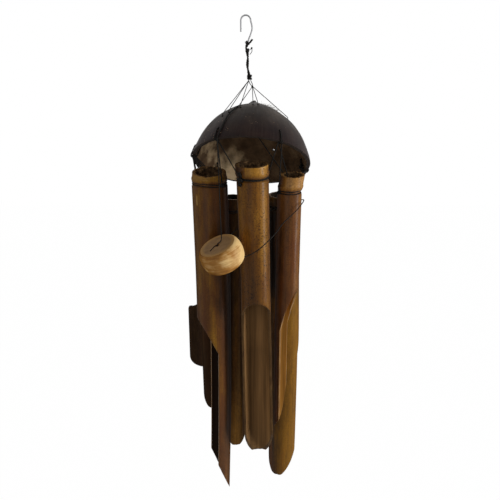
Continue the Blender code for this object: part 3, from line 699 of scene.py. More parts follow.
def hang_lower_knot():
    """The small second knot, in the two thin strands that hang it under the gathering knot."""
    centre = middle_of("lower_knot")
    knot = tie_knot("lower_knot_turns", centre + LOWER_SHIFT, LOWER_KNOT_RADIUS)
    strands = lay_cord("lower_knot_links", [around(centre, link) for link in LOWER_LINKS], LINK_RADIUS)
    fix(joined("lower_knot_cord", [knot, strands]), "canopy", "lower_knot")


hang_loop()
hang_hook_knot()
hang_cord()
gathering = tie_knot("gathering_knot_cord", middle_of("gathering_knot"), GATHER_KNOT_RADIUS)
fix(gathering, "hanger", "gathering_knot")
hang_lower_knot()

# Coconut half shell: sawn across, scraped nearly smooth outside and left with shreds of dried flesh inside.
# Six sling holes near the rim, a hole for each canopy cord and a spare one are drilled through it.
SHELL_RADIUS = 59.5 * MM
SHELL_WALL = 3.5 * MM
SHELL_CENTRE = Vector((5.0 * MM, 0.0, -136.0 * MM))
SHELL_TILT_BACK = 31.0
SHELL_ROLL = 4.8
SHELL_FORM = (
    (0, 1.143),
    (4, 1.085),
    (10, 1.029),
    (20, 0.973),
    (30, 0.948),
    (40, 0.933),
    (50, 0.928),
    (60, 0.931),
    (70, 0.945),
    (80, 0.968),
    (90, 1.0),
)
SHELL_COLUMNS = 192
SHELL_ROWS = 64
SHELL_LUMPS = 0.5 * MM
LUMP_RATE = 3.1
INNER_LUMP_RATES = (5.0, 16.0)
SHELL_BAND = (56.0 * MM, 82.0 * MM)
SHELL_SCRAPES = 0.1 * MM
SCRAPE_RATES = (26.0, 3.0)
SHELL_RIDGES = (-150.0, -30.0, 90.0)
SEAM_WIDTH = 6.0
RIM_WAVER = 0.45 * MM
RIM_WAVES = 8.0
SLING_HOLE_AZIMUTHS = (184.0, -126.5, -65.0, 10.0, 80.0, 132.0)
SLING_HOLE_HEIGHT = 12.0 * MM
SLING_HOLE_REACH = (0.8, 1.1)
HOLE_RADIUS = 1.3 * MM
DRILL_SIDES = 20
# Each cord's azimuth at its knot, and the azimuth and angle of its hole
CANOPY_CORDS = (
    (130.0, -131.9, 57.2),
    (168.0, -125.2, 52.2),
    (-158.0, -112.5, 43.5),
    (-84.0, -94.9, 35.4),
    (-44.0, -86.1, 33.3),
    (-4.0, -34.0, 44.7),
)
SPARE_HOLE = (55.7, 53.6)
SHELL_PLACE = (
    Matrix.Translation(SHELL_CENTRE)
    @ Matrix.Rotation(math.radians(SHELL_ROLL), 4, "Y")
    @ Matrix.Rotation(math.radians(-SHELL_TILT_BACK), 4, "X")
)
NO_FLESH = -0.2
FLESH_SPOTS = (
    (Vector((-37.0 * MM, 29.0 * MM, -127.0 * MM)), 24.0 * MM, 0.24),
    (Vector((-18.0 * MM, 46.0 * MM, -150.0 * MM)), 34.0 * MM, 0.40),
)
CROWN_STUB = (Vector((-3.5 * MM, 0.0)), 4.2 * MM, 2.2 * MM)
CROWN_NOTCH = (Vector((2.6 * MM, -1.0 * MM)), 3.0 * MM, -1.6 * MM)
OUTSIDE, INSIDE, RIM = range(3)


def shell_distance(angle):
    """From the rim's centre to the outside, at an angle off the axis, eased between the form's points."""
    degrees, shares = zip(*SHELL_FORM)
    ease = min(4.0, angle / 3)
    near = [abs(angle + ease * k / 2) for k in (-2, -1, 0, 1, 2)]
    return SHELL_RADIUS * float(np.mean(np.interp(near, degrees, shares)))


def outward(azimuth):
    """The level way out at an azimuth."""
    turn = math.radians(azimuth)
    return Vector((math.cos(turn), math.sin(turn), 0.0))


def direction(azimuth, angle):
    """The way from the rim's centre at an azimuth, and at an angle off the shell's axis."""
    turn, level = math.radians(azimuth), math.radians(angle)
    return Vector((math.sin(level) * math.cos(turn), math.sin(level) * math.sin(turn), math.cos(level)))


def on_shell(azimuth, angle, lift):
    """A point over the shell's outer surface, or under it where the lift is negative."""
    return SHELL_PLACE @ (direction(azimuth, angle) * (shell_distance(angle) + lift))


def outer_lift(azimuth, angle):
    """The outside's lumps, its three faint seams and the scrapes along it."""
    turn, level = math.radians(azimuth), math.radians(angle)
    lift = SHELL_LUMPS * noise.noise(direction(azimuth, angle) * LUMP_RATE)
    scrape = Vector((turn * SCRAPE_RATES[0], level * SCRAPE_RATES[1], 5.0))
    lift += SHELL_SCRAPES * noise.noise(scrape) * math.sin(level)
    flat = outward(azimuth).to_2d() * shell_distance(angle) * math.sin(level)
    for middle, reach, height in (CROWN_STUB, CROWN_NOTCH):
        lift += height * math.exp(-(((flat - middle).length / reach) ** 2))
    for seam in SHELL_RIDGES:
        apart = (azimuth - seam + 180.0) % 360.0 - 180.0
        lift += SHELL_LUMPS * math.exp(-((apart / SEAM_WIDTH) ** 2)) * math.sin(2 * level)
    return lift


def inner_lift(azimuth, angle):
    """The inside's lumps, large and small."""
    spot = direction(azimuth, angle)
    large, small = INNER_LUMP_RATES
    return SHELL_LUMPS * (noise.noise(spot * large + Vector((9, 0, 0))) + 0.5 * noise.noise(spot * small))


def shell_outside():
    """Dark outside, redder low down, with paler scrapes along it and a few pale flecks."""
    made, tree, shader = new_finish("scraped_coconut")
    track = add_node(tree, "ShaderNodeUVMap", uv_map="meridians").outputs["UV"]
    narrow = add_node(tree, "ShaderNodeMapping", {"Vector": track, "Scale": (1.0, 0.05, 1.0)}).outputs[0]
    down = add_node(tree, "ShaderNodeSeparateXYZ", {0: track}).outputs["Y"]
    cloud = noise_value(tree, 55.0, detail=5.0, seed=5.0)
    scrape = noise_value(tree, 420.0, seed=6.0, vector=narrow)
    stops = ((0.32, (0.012, 0.008, 0.007)), (0.50, (0.031, 0.023, 0.018)), (0.68, (0.070, 0.054, 0.043)))
    upper = ramp(tree, cloud, stops)
    stops = ((0.3, (0.007, 0.003, 0.003)), (0.52, (0.016, 0.0075, 0.0065)), (0.72, (0.036, 0.020, 0.015)))
    lower = ramp(tree, cloud, stops)
    colour = mix_colour(tree, spread(tree, down, *SHELL_BAND), upper, lower)
    scraped = spread(tree, scrape, 0.45, 0.75, 0.0, 0.4)
    streaks = mix_colour(tree, scraped, colour, (0.055, 0.042, 0.034, 1.0))
    fleck = spread(tree, noise_value(tree, 520.0, detail=1.0, seed=7.0), 0.665, 0.70)
    patch = spread(tree, noise_value(tree, 45.0, seed=8.0), 0.52, 0.6)
    specks = mix_colour(tree, maths(tree, "MULTIPLY", fleck, patch), streaks, (0.42, 0.27, 0.16, 1.0))
    feed(tree, shader, Base_Color=specks, Roughness=spread(tree, scrape, 0.3, 0.7, 0.46, 0.62))
    feed(tree, shader, Specular_IOR_Level=0.09)
    height = maths(tree, "ADD", scrape, noise_value(tree, 900.0, seed=9.0))
    feed(tree, shader, Normal=bump(tree, height, 0.12 * MM, 0.6))
    return made


def shell_inside():
    """Brown lining, with pale shreds of flesh near its spots."""
    made, tree, shader = new_finish("coconut_lining")
    cloud = noise_value(tree, 60.0, detail=6.0, seed=11.0)
    fibre = noise_value(tree, 420.0, seed=12.0)
    stops = ((0.3, (0.05, 0.028, 0.014)), (0.5, (0.15, 0.09, 0.046)), (0.7, (0.30, 0.20, 0.11)))
    brown = ramp(tree, cloud, stops)
    near = NO_FLESH
    for middle, reach, strength in FLESH_SPOTS:
        away = vector_maths(tree, "DISTANCE", object_spot(tree), tuple(middle))
        near = maths(tree, "MAXIMUM", near, spread(tree, away, 0.0, reach, strength, NO_FLESH))
    shred = spread(tree, maths(tree, "ADD", cloud, near), 0.5, 0.8)
    pale = mix_colour(tree, fibre, (1.0, 0.80, 0.52, 1.0), (0.74, 0.50, 0.25, 1.0))
    colour = mix_colour(tree, shred, brown, pale)
    feed(tree, shader, Base_Color=colour, Roughness=0.78, Specular_IOR_Level=0.12)
    feed(tree, shader, Normal=bump(tree, maths(tree, "ADD", cloud, fibre), 0.5 * MM, 0.7))
    return made


def shell_rim():
    made, tree, shader = new_finish("sawn_coconut")
    grain = noise_value(tree, 800.0, seed=13.0)
    colour = ramp(tree, grain, ((0.3, (0.012, 0.009, 0.008)), (0.7, (0.05, 0.034, 0.024))))
    feed(tree, shader, Base_Color=colour, Roughness=0.7, Specular_IOR_Level=0.12)
    feed(tree, shader, Normal=bump(tree, grain, 0.15 * MM))
    return made


def shell_skin():
    """The shell's wall as rings of points: outside from the rim to the crown, then inside to the rim."""
    outer_angles = [90.0 * (1 - k / SHELL_ROWS) for k in range(SHELL_ROWS)]
    rows = [(angle, 0.0, outer_lift) for angle in outer_angles]
    rows += [(angle, -SHELL_WALL, inner_lift) for angle in reversed(outer_angles)]
    crown_way = SHELL_PLACE.to_3x3() @ Vector((0, 0, 1))
    points = []
    for angle, depth, lift in rows:
        for column in range(SHELL_COLUMNS):
            azimuth = 360.0 * column / SHELL_COLUMNS
            spot = on_shell(azimuth, angle, depth + lift(azimuth, angle))
            if angle == outer_angles[0]:
                saw_way = outward(azimuth) * RIM_WAVES + Vector((0.0, 0.0, 2.0))
                spot += crown_way * RIM_WAVER * noise.noise(saw_way)
            points.append(spot)
    return points


def build_shell():
    """The shell's mesh, with its three finishes and a UV map that runs down its meridians."""
    points = shell_skin()
    rings = 2 * SHELL_ROWS
    faces, finishes = [], []
    crown = [on_shell(0.0, 0.0, outer_lift(0.0, 0.0)), on_shell(0.0, 0.0, -SHELL_WALL)]
    tips = (len(points), len(points) + 1)
    for row in range(rings):
        here = row * SHELL_COLUMNS
        there = (row + 1) % rings * SHELL_COLUMNS
        for column in range(SHELL_COLUMNS):
            beside = (column + 1) % SHELL_COLUMNS
            if row == SHELL_ROWS - 1:
                faces.append((here + column, here + beside, tips[0]))
                faces.append((tips[1], there + beside, there + column))
                finishes += [OUTSIDE, INSIDE]
                continue
            faces.append((here + column, here + beside, there + beside, there + column))
            side = INSIDE if row >= SHELL_ROWS else OUTSIDE
            finishes.append(RIM if row == rings - 1 else side)
    shell = mesh_object("shell_source", [*points, *crown], faces=faces)
    data = shell.data
    data.polygons.foreach_set("material_index", finishes)
    for finish in (shell_outside(), shell_inside(), shell_rim()):
        data.materials.append(finish)
    inverse = SHELL_PLACE.inverted()
    track = data.uv_layers.new(name="meridians")
    for polygon in data.polygons:
        middle = inverse @ polygon.center
        turn = math.atan2(middle.y, middle.x)
        for corner in polygon.loop_indices:
            local = inverse @ data.vertices[data.loops[corner].vertex_index].co
            own = math.atan2(local.y, local.x)
            own += 2 * math.pi * round((turn - own) / (2 * math.pi))
            level = math.atan2(local.xy.length, local.z)
            track.data[corner].uv = (own * SHELL_RADIUS, level * SHELL_RADIUS)
    data.shade_smooth()
    return shell


def drill(source, holes):
    """Cut round holes, each from a start to an end with its radius, and give the cutter."""
    shape = bmesh.new()
    for start, end, radius in holes:
        bmesh.ops.create_cone(
            shape,
            cap_ends=True,
            segments=DRILL_SIDES,
            radius1=radius,
            radius2=radius,
            depth=(end - start).length,
            matrix=Matrix.Translation((start + end) / 2) @ frame_along(end - start),
        )
    boring = source.modifiers.new("holes", "BOOLEAN")
    boring.operation = "DIFFERENCE"
    boring.object = from_bmesh(shape, "drill")
    return boring.object


def shell_holes():
    """The sling holes, level through the wall, and the canopy cords' and the spare one, square to it."""
    holes = []
    up = SHELL_PLACE @ Vector((0.0, 0.0, SLING_HOLE_HEIGHT))
    for azimuth in SLING_HOLE_AZIMUTHS:
        out = SHELL_PLACE.to_3x3() @ outward(azimuth)
        start, end = (up + out * SHELL_RADIUS * share for share in SLING_HOLE_REACH)
        holes.append((start, end, HOLE_RADIUS))
    for azimuth, angle in (*(spec[1:] for spec in CANOPY_CORDS), SPARE_HOLE):
        inside = on_shell(azimuth, angle, -2 * SHELL_WALL)
        holes.append((inside, on_shell(azimuth, angle, SHELL_WALL), HOLE_RADIUS))
    return holes


shell_source = build_shell()
shell_drill = drill(shell_source, shell_holes())
shell = plain_mesh(shell_source, "coconut_half")
bpy.data.objects.remove(shell_drill)
fix(shade(shell), "canopy", "coconut_shell", slot="coconut")

# Husk shreds: pale threads of the coconut's husk that were left standing beside its pointed end.
# They are scattered over a patch of the shell, each a thin bent thread.
HUSK_AZIMUTHS = (-45.0, 60.0)
HUSK_ANGLES = (5.0, 27.0)
HUSK_DENSITY = 320000.0
HUSK_LENGTH = 3.4 * MM
HUSK_THICKNESS = 0.075 * MM
HUSK_SEED = 4
HUSK_STEPS = 12


def build_husk_shreds():
    """Geometry nodes: bent threads scattered over a patch, each with its own turn and size."""
    inputs = {"Patch": "Geometry", "Density": "Float", "Length": "Float", "Thickness": "Float"}
    inputs |= {"Seed": "Int", "Finish": "Material"}
    tree, given = new_tree("husk_shreds", "GeometryNodeTree", inputs, {"Shreds": "Geometry"})
    strewn = {"Mesh": given["Patch"], "Density": given["Density"], "Seed": given["Seed"]}
    points = add_node(tree, "GeometryNodeDistributePointsOnFaces", strewn).outputs["Points"]
    bend = {"Start": (0.0, 0.0, -0.1), "Middle": (0.25, 0.0, 0.75), "End": (1.0, 0.1, 0.55)}
    bend["Resolution"] = 7
    thread = add_node(tree, "GeometryNodeCurveQuadraticBezier", bend).outputs["Curve"]
    stretch = vector_maths(tree, "SCALE", (1.0, 1.0, 1.0), given["Length"])
    long = {"Geometry": thread, "Scale": stretch}
    drawn = add_node(tree, "GeometryNodeTransform", long).outputs["Geometry"]
    form = {"Resolution": 5, "Radius": given["Thickness"]}
    section = add_node(tree, "GeometryNodeCurvePrimitiveCircle", form).outputs["Curve"]
    shred = sweep_section(tree, drawn, section)
    turns = {"Min": (-0.7, -0.7, -1.2), "Max": (0.7, 0.7, 1.2), "Seed": given["Seed"]}
    spin = add_node(tree, "FunctionNodeRandomValue", turns, data_type="FLOAT_VECTOR").outputs["Value"]
    sizes = {2: 0.35, 3: 1.25, "Seed": given["Seed"]}
    size = add_node(tree, "FunctionNodeRandomValue", sizes, data_type="FLOAT").outputs[1]
    places = {"Points": points, "Instance": shred, "Rotation": spin, "Scale": size}
    placed = add_node(tree, "GeometryNodeInstanceOnPoints", places).outputs["Instances"]
    add_node(tree, "NodeGroupOutput", {"Shreds": real_mesh(tree, placed, given["Finish"])})
    return tree


def husk_finish():
    made, tree, shader = new_finish("dry_husk")
    cloud = noise_value(tree, 500.0, seed=15.0)
    colour = ramp(tree, cloud, ((0.35, (0.22, 0.19, 0.15)), (0.65, (0.50, 0.45, 0.38))))
    feed(tree, shader, Base_Color=colour, Roughness=0.8, Specular_IOR_Level=0.15)
    return made


def strew_husk():
    """The shreds, over a patch of the outside beside the pointed end."""
    points, faces = [], []
    for row in range(HUSK_STEPS + 1):
        for column in range(HUSK_STEPS + 1):
            azimuth = HUSK_AZIMUTHS[0] + (HUSK_AZIMUTHS[1] - HUSK_AZIMUTHS[0]) * column / HUSK_STEPS
            angle = HUSK_ANGLES[0] + (HUSK_ANGLES[1] - HUSK_ANGLES[0]) * row / HUSK_STEPS
            points.append(on_shell(azimuth, angle, outer_lift(azimuth, angle)))
            if row and column:
                here = row * (HUSK_STEPS + 1) + column
                below = here - HUSK_STEPS - 1
                faces.append((below - 1, below, here, here - 1))
    source = mesh_object("husk_patch", points, faces=faces)
    scatter = source.modifiers.new("husk_shreds", "NODES")
    scatter.node_group = build_husk_shreds()
    set_inputs(
        scatter,
        Density=HUSK_DENSITY,
        Length=HUSK_LENGTH,
        Thickness=HUSK_THICKNESS,
        Seed=HUSK_SEED,
        Finish=husk_finish(),
    )
    shreds = plain_mesh(source, "husk_shreds")
    shreds.data.shade_smooth()
    fix(shreds, "canopy", slot="coconut")


strew_husk()

# Canopy cords: six thin cords from the lower knot, each straight to its own hole in the shell.
# The shell cord is thicker, lies on the outside of the shell, and carries the clapper at the rim.
CANOPY_RADIUS = 0.4 * MM
CORD_RADIUS = 0.8 * MM
GAP = 0.3 * MM
CORD_HOLE_LEAD = 1.4 * MM
CORD_HOLE_DEPTH = 1.2 * MM
LEFT_SIDE = 0.02
GATHER_FOOT = 2.6 * MM
GATHER_SIDE = 0.2
LOWER_SIDE = 0.5
SHELL_CORD_ROUTE = (
    (-117.5, 38.5),
    (-118.0, 45.0),
    (-120.0, 53.0),
    (-121.0, 61.0),
    (-121.4, 70.0),
    (-121.8, 79.0),
    (-122.8, 86.0),
    (-123.6, 90.0),
)


def knot_side(azimuth):
    """Where a cord starts: beside the lower knot, or under the gathering knot if the cord goes left."""
    out = outward(azimuth)
    if out.x < LEFT_SIDE:
        foot = middle_of("gathering_knot") - Vector((0.0, 0.0, GATHER_FOOT))
        return foot + out * GATHER_KNOT_RADIUS * GATHER_SIDE
    return middle_of("lower_knot") + LOWER_SHIFT + out * LOWER_KNOT_RADIUS * LOWER_SIDE


def canopy_route(start_azimuth, azimuth, angle):
    start = knot_side(start_azimuth)
    lead = on_shell(azimuth, angle, CORD_HOLE_LEAD)
    end = on_shell(azimuth, angle, -CORD_HOLE_DEPTH)
    before = lead + (start - lead).normalized() * CORD_HOLE_LEAD
    after = lead.lerp(end, 0.5)
    return [start, before, (before + lead * 2 + after) / 4, after, end]


def shell_cord_routes():
    """The thin length from the knot to the shell, and the thicker one that lies on it down to the rim."""
    lift = CORD_RADIUS + 0.5 * GAP
    lying = [on_shell(*spot, lift) for spot in SHELL_CORD_ROUTE]
    lying[-1] = on_shell(*SHELL_CORD_ROUTE[-1], CORD_RADIUS + GAP)
    return [middle_of("lower_knot") + LOWER_SHIFT, lying[0]], smooth_route(lying)


for number, spec in enumerate(CANOPY_CORDS, 1):
    thread = lay_cord(f"canopy_thread_{number}", [canopy_route(*spec)], CANOPY_RADIUS)
    fix(thread, "canopy", f"canopy_cord_{number}")
thin_route, thick_route = shell_cord_routes()
thin_length = lay_cord("shell_cord_thin", [thin_route], CANOPY_RADIUS)
thick_length = lay_cord("shell_cord_thick", [thick_route], CORD_RADIUS)
fix(joined("shell_cord_length", [thin_length, thick_length]), "canopy", "shell_cord")

# Rim lashings: at each sling hole the cord goes through the wall and round the rim two to four times,
# side by side, and its slings hang from the turns under the rim.
LASHING_TURNS = (4, 2, 2, 4, 2, 3)
LASHING_CORD = 0.62 * MM
LASHING_PITCH = 1.25 * MM
LASHING_CORNER = 1.6 * MM
LASHING_SLACK = 1.1
LASHING_ROUND = 0.58
HOLE_SQUEEZE = 0.25
LASHING_KNOTS = {4: 2.8 * MM}
LASHING_KNOT_IN = 3.4 * MM
LASHING_KNOT_UP = 3.0 * MM


def wall_reach(height):
    """The shell's outer distance from its axis at a height over its rim."""
    angles = np.linspace(90.0, 45.0, 91)
    distances = np.array([shell_distance(angle) for angle in angles])
    heights = distances * np.cos(np.radians(angles))
    return float(np.interp(height, heights, distances * np.sin(np.radians(angles))))


def lashing_route(azimuth, turns):
    """Turns through the hole, down the inside, under the rim and up the outside, each beside the last."""
    out = outward(azimuth)
    along = Vector((-out.y, out.x, 0.0))
    clear = GAP + LASHING_CORD
    top, bottom = SLING_HOLE_HEIGHT, -clear
    corners = (
        Vector((wall_reach(top) + clear + GAP, top)),
        Vector((wall_reach(top) - LASHING_SLACK * SHELL_WALL - clear - GAP, top)),
        Vector((SHELL_RADIUS - SHELL_WALL - clear - 2 * GAP, bottom)),
        Vector((SHELL_RADIUS + clear + GAP, bottom)),
    )
    points = []
    for k in range(4 * turns):
        corner = corners[k % 4]
        before = corner + (corners[(k - 1) % 4] - corner).normalized() * LASHING_CORNER
        after = corner + (corners[(k + 1) % 4] - corner).normalized() * LASHING_CORNER
        for step, spot in enumerate((before, corner.lerp((before + after) / 2, LASHING_ROUND), after)):
            shift = ((k + step / 3) / (4 * turns) - 0.5) * LASHING_PITCH * turns
            squeeze = HOLE_SQUEEZE if k % 4 < 2 else 1.0
            place = out * spot.x + along * shift * squeeze + Vector((0.0, 0.0, spot.y))
            points.append(SHELL_PLACE @ place)
    return points


for number, (azimuth, turns) in enumerate(zip(SLING_HOLE_AZIMUTHS, LASHING_TURNS), 1):
    wrap = lay_cord(f"lashing_turns_{number}", [lashing_route(azimuth, turns)], LASHING_CORD)
    if number in LASHING_KNOTS:
        aside = outward(azimuth) * (SHELL_RADIUS - SHELL_WALL - LASHING_KNOT_IN)
        spot = SHELL_PLACE @ (aside + Vector((0.0, 0.0, LASHING_KNOT_UP)))
        knot = tie_knot("lashing_knot", spot, LASHING_KNOTS[number])
        wrap = joined(f"lashing_turns_{number}", [wrap, knot])
    fix(wrap, "canopy", f"rim_lashing_{number}")

# Bamboo tubes: dry culms, each sawn off just over a node so that its septum closes the top, grooved for
# its tie, then sawn on a slant and split down so that a long tongue is left. Browned with a flame and
# varnished. A tube's values are in millimetres and degrees.
WALL = 3.0 * MM
COLUMNS = 96
TURN_PARTS = 24
BODY_ROWS = 24
BORE_ROWS = 10
TONGUE_ROWS = 34
TOP_RING = 2.0 * MM
TOP_DEPTHS = (0.0, 1.2 * MM, 2.4 * MM)
TOP_STEP = 0.6 * MM
SAW_EASE = 5.0 * MM
GROOVE_MARGIN = 1.5 * MM
CUP_SHARES = (0.0, 0.3, 0.6, 0.85, 1.0)
SEPTUM_DIP = 0.8 * MM
CUP_DEPTH = 7.0 * MM
SEPTUM = 4.0 * MM
RIDGE_HEIGHT = 0.6 * MM
RIDGE_HALF = 2.0 * MM
RIDGE_OFFSET = 5.0 * MM
GROOVE_DEPTH = 1.2 * MM
GROOVE_FLAT = 1.3 * MM
GROOVE_SLOPE = 0.8 * MM
EDGE_EASE = 0.3 * MM
CULM_WAVER = 0.3 * MM
WAVER_ROUND = 2.2
WAVER_ALONG = 14.0
CUT_CHIPS = 0.45 * MM
PATCH_FADE = 0.25
GOLD_PATCH = 0.1
MOUTH_LEAN = 0.15
CORNER_SHARE = 0.4
SHADE_BLACK_SHARE = 0.25
SHEEN_SHARE = 1.6
PALE_SHARE = 1.3
PALE_BLOOM = (0.03, 0.05, 0.045)
BLUSH = (1.0, 0.72, 0.75)
SKIN, LINING, CUT, BARK = range(4)

# tie: depth of the groove; drift and bow: how far the lower end leans and the middle bends; mouth: azimuth
# that the cut faces; open: 24ths of a turn cut away on each side of it; cut: depth of the mouth's middle
# and its fall to the sides; corner: how much more its corners fall; tip: how far the tongue's edges end
# above its tip, the share that is square, and one side's own cut with its power; thin: wall worn off at the
# tip; slant, lift and ragged: the sawn top; flare: how far it shifts and widens; waist: depth, half height,
# slimming and shift; bark and sawn: strength of those colours, with bark turned down on the rear tubes as
# painted shade; fades, freckles and patches: azimuth, half width, upper and lower depth and strength of a
# place with a paler lining, specks or a lighter or darker skin. Most patches are the skin's own tone; those
# marked at their tube are painted shade.
PLAIN_TUBE = {
    "tie": 15.0,
    "drift": (0.0, 0.0),
    "bow": 0.0,
    "open": 6,
    "corner": 0.0,
    "thin": 0.0,
    "slant": 1.0,
    "lift": 0.0,
    "ragged": 0.6,
    "flare": (0.0, 0.0),
    "waist": (0.0, 1.0, 0.0, 0.0),
    "bark": 1.0,
    "sawn": 1.0,
    "gloss": 0.1,
    "speckle": 0.35,
    "fades": (),
    "freckles": (),
    "patches": (),
}
CULMS = {
    "front_left": {
        **PLAIN_TUBE,
        "tie": 11.5,
        "drift": (-2.0, 0.0),
        "bow": 2.6,
        "mouth": -162.0,
        "cut": (152.0, 36.0),
        "tip": (43.0, 0.0, 0.0, 2),
        "slant": 5.4,
        "lift": 2.8,
        "ragged": 1.3,
        "flare": (-0.5, -1.2),
        "seed": 1.0,
        "dark": (0.046, 0.018, 0.005),
        "brown": (0.120, 0.044, 0.008),
        "gold": (0.27, 0.125, 0.012),
        # Nearly black lining: painted shade inside the tube.
        "lining": (0.012, 0.006, 0.003),
        "speckle": 0.25,
        "patches": (
            (-94.0, 17.0, 130.0, 400.0, 0.14),
            (-120.0, 150.0, -4.0, 9.5, 0.225),
            (-160.0, 45.0, 0.0, 240.0, 0.05),
            # The next patch is painted shade: the right side, darkened where the front middle tube keeps the light
            # off.
            (-28.0, 52.0, 0.0, 230.0, -0.13),
            (-66.0, 27.0, 130.0, 280.0, 0.09),
            (-133.0, 4.0, 20.0, 32.0, 0.45),
            (-56.0, 46.0, 215.0, 420.0, -0.07),
        ),
    },
    "front_middle": {
        **PLAIN_TUBE,
        "tie": 14.5,
        "drift": (8.2, 0.0),
        "mouth": -90.0,
        "cut": (136.0, 18.0),
        "tip": (31.0, 0.13, 0.0, 2),
        "thin": 0.8,
        "slant": 2.8,
        "ragged": 0.35,
        "flare": (-0.8, 0.4),
        "waist": (105.0, 62.0, 0.9, 0.6),
        "bark": 1.2,
        "sawn": 0.5,
        "seed": 2.0,
        "dark": (0.052, 0.020, 0.005),
        "brown": (0.150, 0.058, 0.007),
        "gold": (0.36, 0.165, 0.020),
        "lining": (0.165, 0.088, 0.034),
        "speckle": 0.95,
        "fades": (
            (45.0, 40.0, 140.0, 345.0, 0.6),
            (165.0, 40.0, 140.0, 345.0, 0.15),
            (95.0, 85.0, 120.0, 200.0, 0.35),
        ),
        "freckles": ((-48.0, 62.0, 13.0, 150.0, 0.75), (-88.0, 85.0, 13.0, 48.0, 0.6)),
        "patches": (
            (-50.0, 45.0, 0.0, 110.0, 0.08),
            (-95.0, 32.0, 50.0, 180.0, -0.07),
            (-72.0, 62.0, -6.0, 12.5, 0.185),
            (-138.0, 26.0, -8.0, 13.0, -0.22),
            (-35.0, 34.0, -6.0, 5.0, 0.22),
        ),
    },
    "front_right": {
        **PLAIN_TUBE,
        "tie": 16.0,
        "bow": -0.5,
        "mouth": -24.0,
        "open": 7,
        "cut": (116.5, 30.0),
        "corner": 8.0,
        "tip": (20.0, 0.0, 45.0, 8),
        "thin": 0.6,
        "slant": 2.6,
        "lift": 2.0,
        "ragged": 1.2,
        "flare": (2.6, 0.0),
        "sawn": 1.25,
        "seed": 3.0,
        "dark": (0.042, 0.014, 0.005),
        "brown": (0.150, 0.056, 0.012),
        "gold": (0.33, 0.15, 0.030),
        # Bright lining: the inner wall's colour with painted light, where the lamp at the right falls into the mouth.
        "lining": (0.36, 0.165, 0.032),
        "freckles": ((-75.0, 70.0, 14.0, 120.0, 0.4),),
        "patches": (
            (-80.0, 120.0, -6.0, 15.0, 0.30),
            # The next two patches are painted shade: the sling and knot's shadow on the collar's left, and the left
            # side.
            (-170.0, 55.0, -8.0, 15.0, -0.30),
            (-175.0, 70.0, 0.0, 330.0, -0.11),
            (-45.0, 50.0, 0.0, 200.0, 0.05),
        ),
    },
    "rear_right": {
        **PLAIN_TUBE,
        "drift": (3.2, 0.0),
        "bow": 2.6,
        "mouth": 63.0,
        "cut": (146.0, 43.0),
        "tip": (31.0, 0.06, 9.0, 2),
        "slant": 1.5,
        "lift": -2.0,
        # The septum's colour is turned down: painted shade under the shell.
        "bark": 0.15,
        "gloss": 0.08,
        "seed": 4.0,
        "dark": (0.060, 0.027, 0.006),
        "brown": (0.225, 0.099, 0.009),
        "gold": (0.275, 0.135, 0.015),
        "lining": (0.10, 0.062, 0.022),
        "speckle": 0.3,
        "patches": (
            # Painted shade: the first patch darkens the left side and the third the upper part, in the shade between
            # the front tubes; the second darkens the tube low down.
            (-150.0, 62.0, -60.0, 520.0, -0.13),
            (-95.0, 85.0, 285.0, 410.0, -0.07),
            (-138.0, 52.0, 3.0, 120.0, -0.42),
        ),
    },
    "rear_middle": {
        **PLAIN_TUBE,
        "drift": (0.0, 1.0),
        "mouth": 100.0,
        "cut": (130.0, 30.0),
        "tip": (18.0, 0.06, 0.0, 2),
        # The septum's colour is turned down: painted shade under the shell.
        "bark": 0.15,
        "gloss": 0.05,
        "seed": 5.0,
        "dark": (0.030, 0.013, 0.004),
        "brown": (0.098, 0.044, 0.008),
        "gold": (0.24, 0.11, 0.018),
        "lining": (0.08, 0.05, 0.02),
        # The first patch is painted shade, darkening the upper part; the second makes the tube lighter low down.
        "patches": ((-90.0, 170.0, -80.0, 260.0, -0.18), (-90.0, 170.0, 240.0, 420.0, 0.10)),
    },
    "rear_left": {
        **PLAIN_TUBE,
        "drift": (5.0, -2.0),
        "mouth": 85.0,
        "cut": (115.0, 30.0),
        "tip": (17.0, 0.06, 0.0, 2),
        # The septum's colour is turned down: painted shade under the shell.
        "bark": 0.3,
        "gloss": 0.02,
        "seed": 6.0,
        # Skin colours kept very dark: painted shade at the back of the bundle.
        "dark": (0.018, 0.008, 0.004),
        "brown": (0.048, 0.022, 0.008),
        "gold": (0.100, 0.050, 0.016),
        "lining": (0.06, 0.036, 0.015),
    },
}


def measure_tube(name, culm):
    """A tube's top centre, radius and length in metres, off the top ring and the tip of its solid."""
    spots = np.array([vertex.co for vertex in frame["nodes"][f"tube_{name}"].data.vertices])
    ring = spots[spots[:, 2] > spots[:, 2].max() - TOP_RING]
    top = (ring.min(0) + ring.max(0)) / 2
    radius = float(np.linalg.norm(ring - top, axis=1).max())
    drop = float(top[2] - spots[:, 2].min())
    lean = np.array(Vector((*culm["drift"], -drop / MM)).normalized())
    return Vector(top), radius, float(((spots - top) @ lean).max())


for name, culm in CULMS.items():
    culm["top"], culm["radius"], culm["length"] = measure_tube(name, culm)


def culm_frame(culm):
    """A tube's own frame: centre of its top, -Z down its axis."""
    lean = Vector((*culm["drift"], -culm["length"] / MM)).normalized()
    turn = Vector((0, 0, -1)).rotation_difference(lean).to_matrix().to_4x4()
    return Matrix.Translation(culm["top"]) @ turn


def skin_rise(culm, depth):
    """How far the skin stands out at a depth: the node's ridge, and the groove under it."""
    ridge = abs(depth - (culm["tie"] * MM - RIDGE_OFFSET)) / RIDGE_HALF
    groove = abs(depth - culm["tie"] * MM) - GROOVE_FLAT
    rise = RIDGE_HEIGHT * math.exp(-1.6 * ridge * ridge)
    return rise - GROOVE_DEPTH * max(0.0, min(1.0, 1.0 - groove / GROOVE_SLOPE))


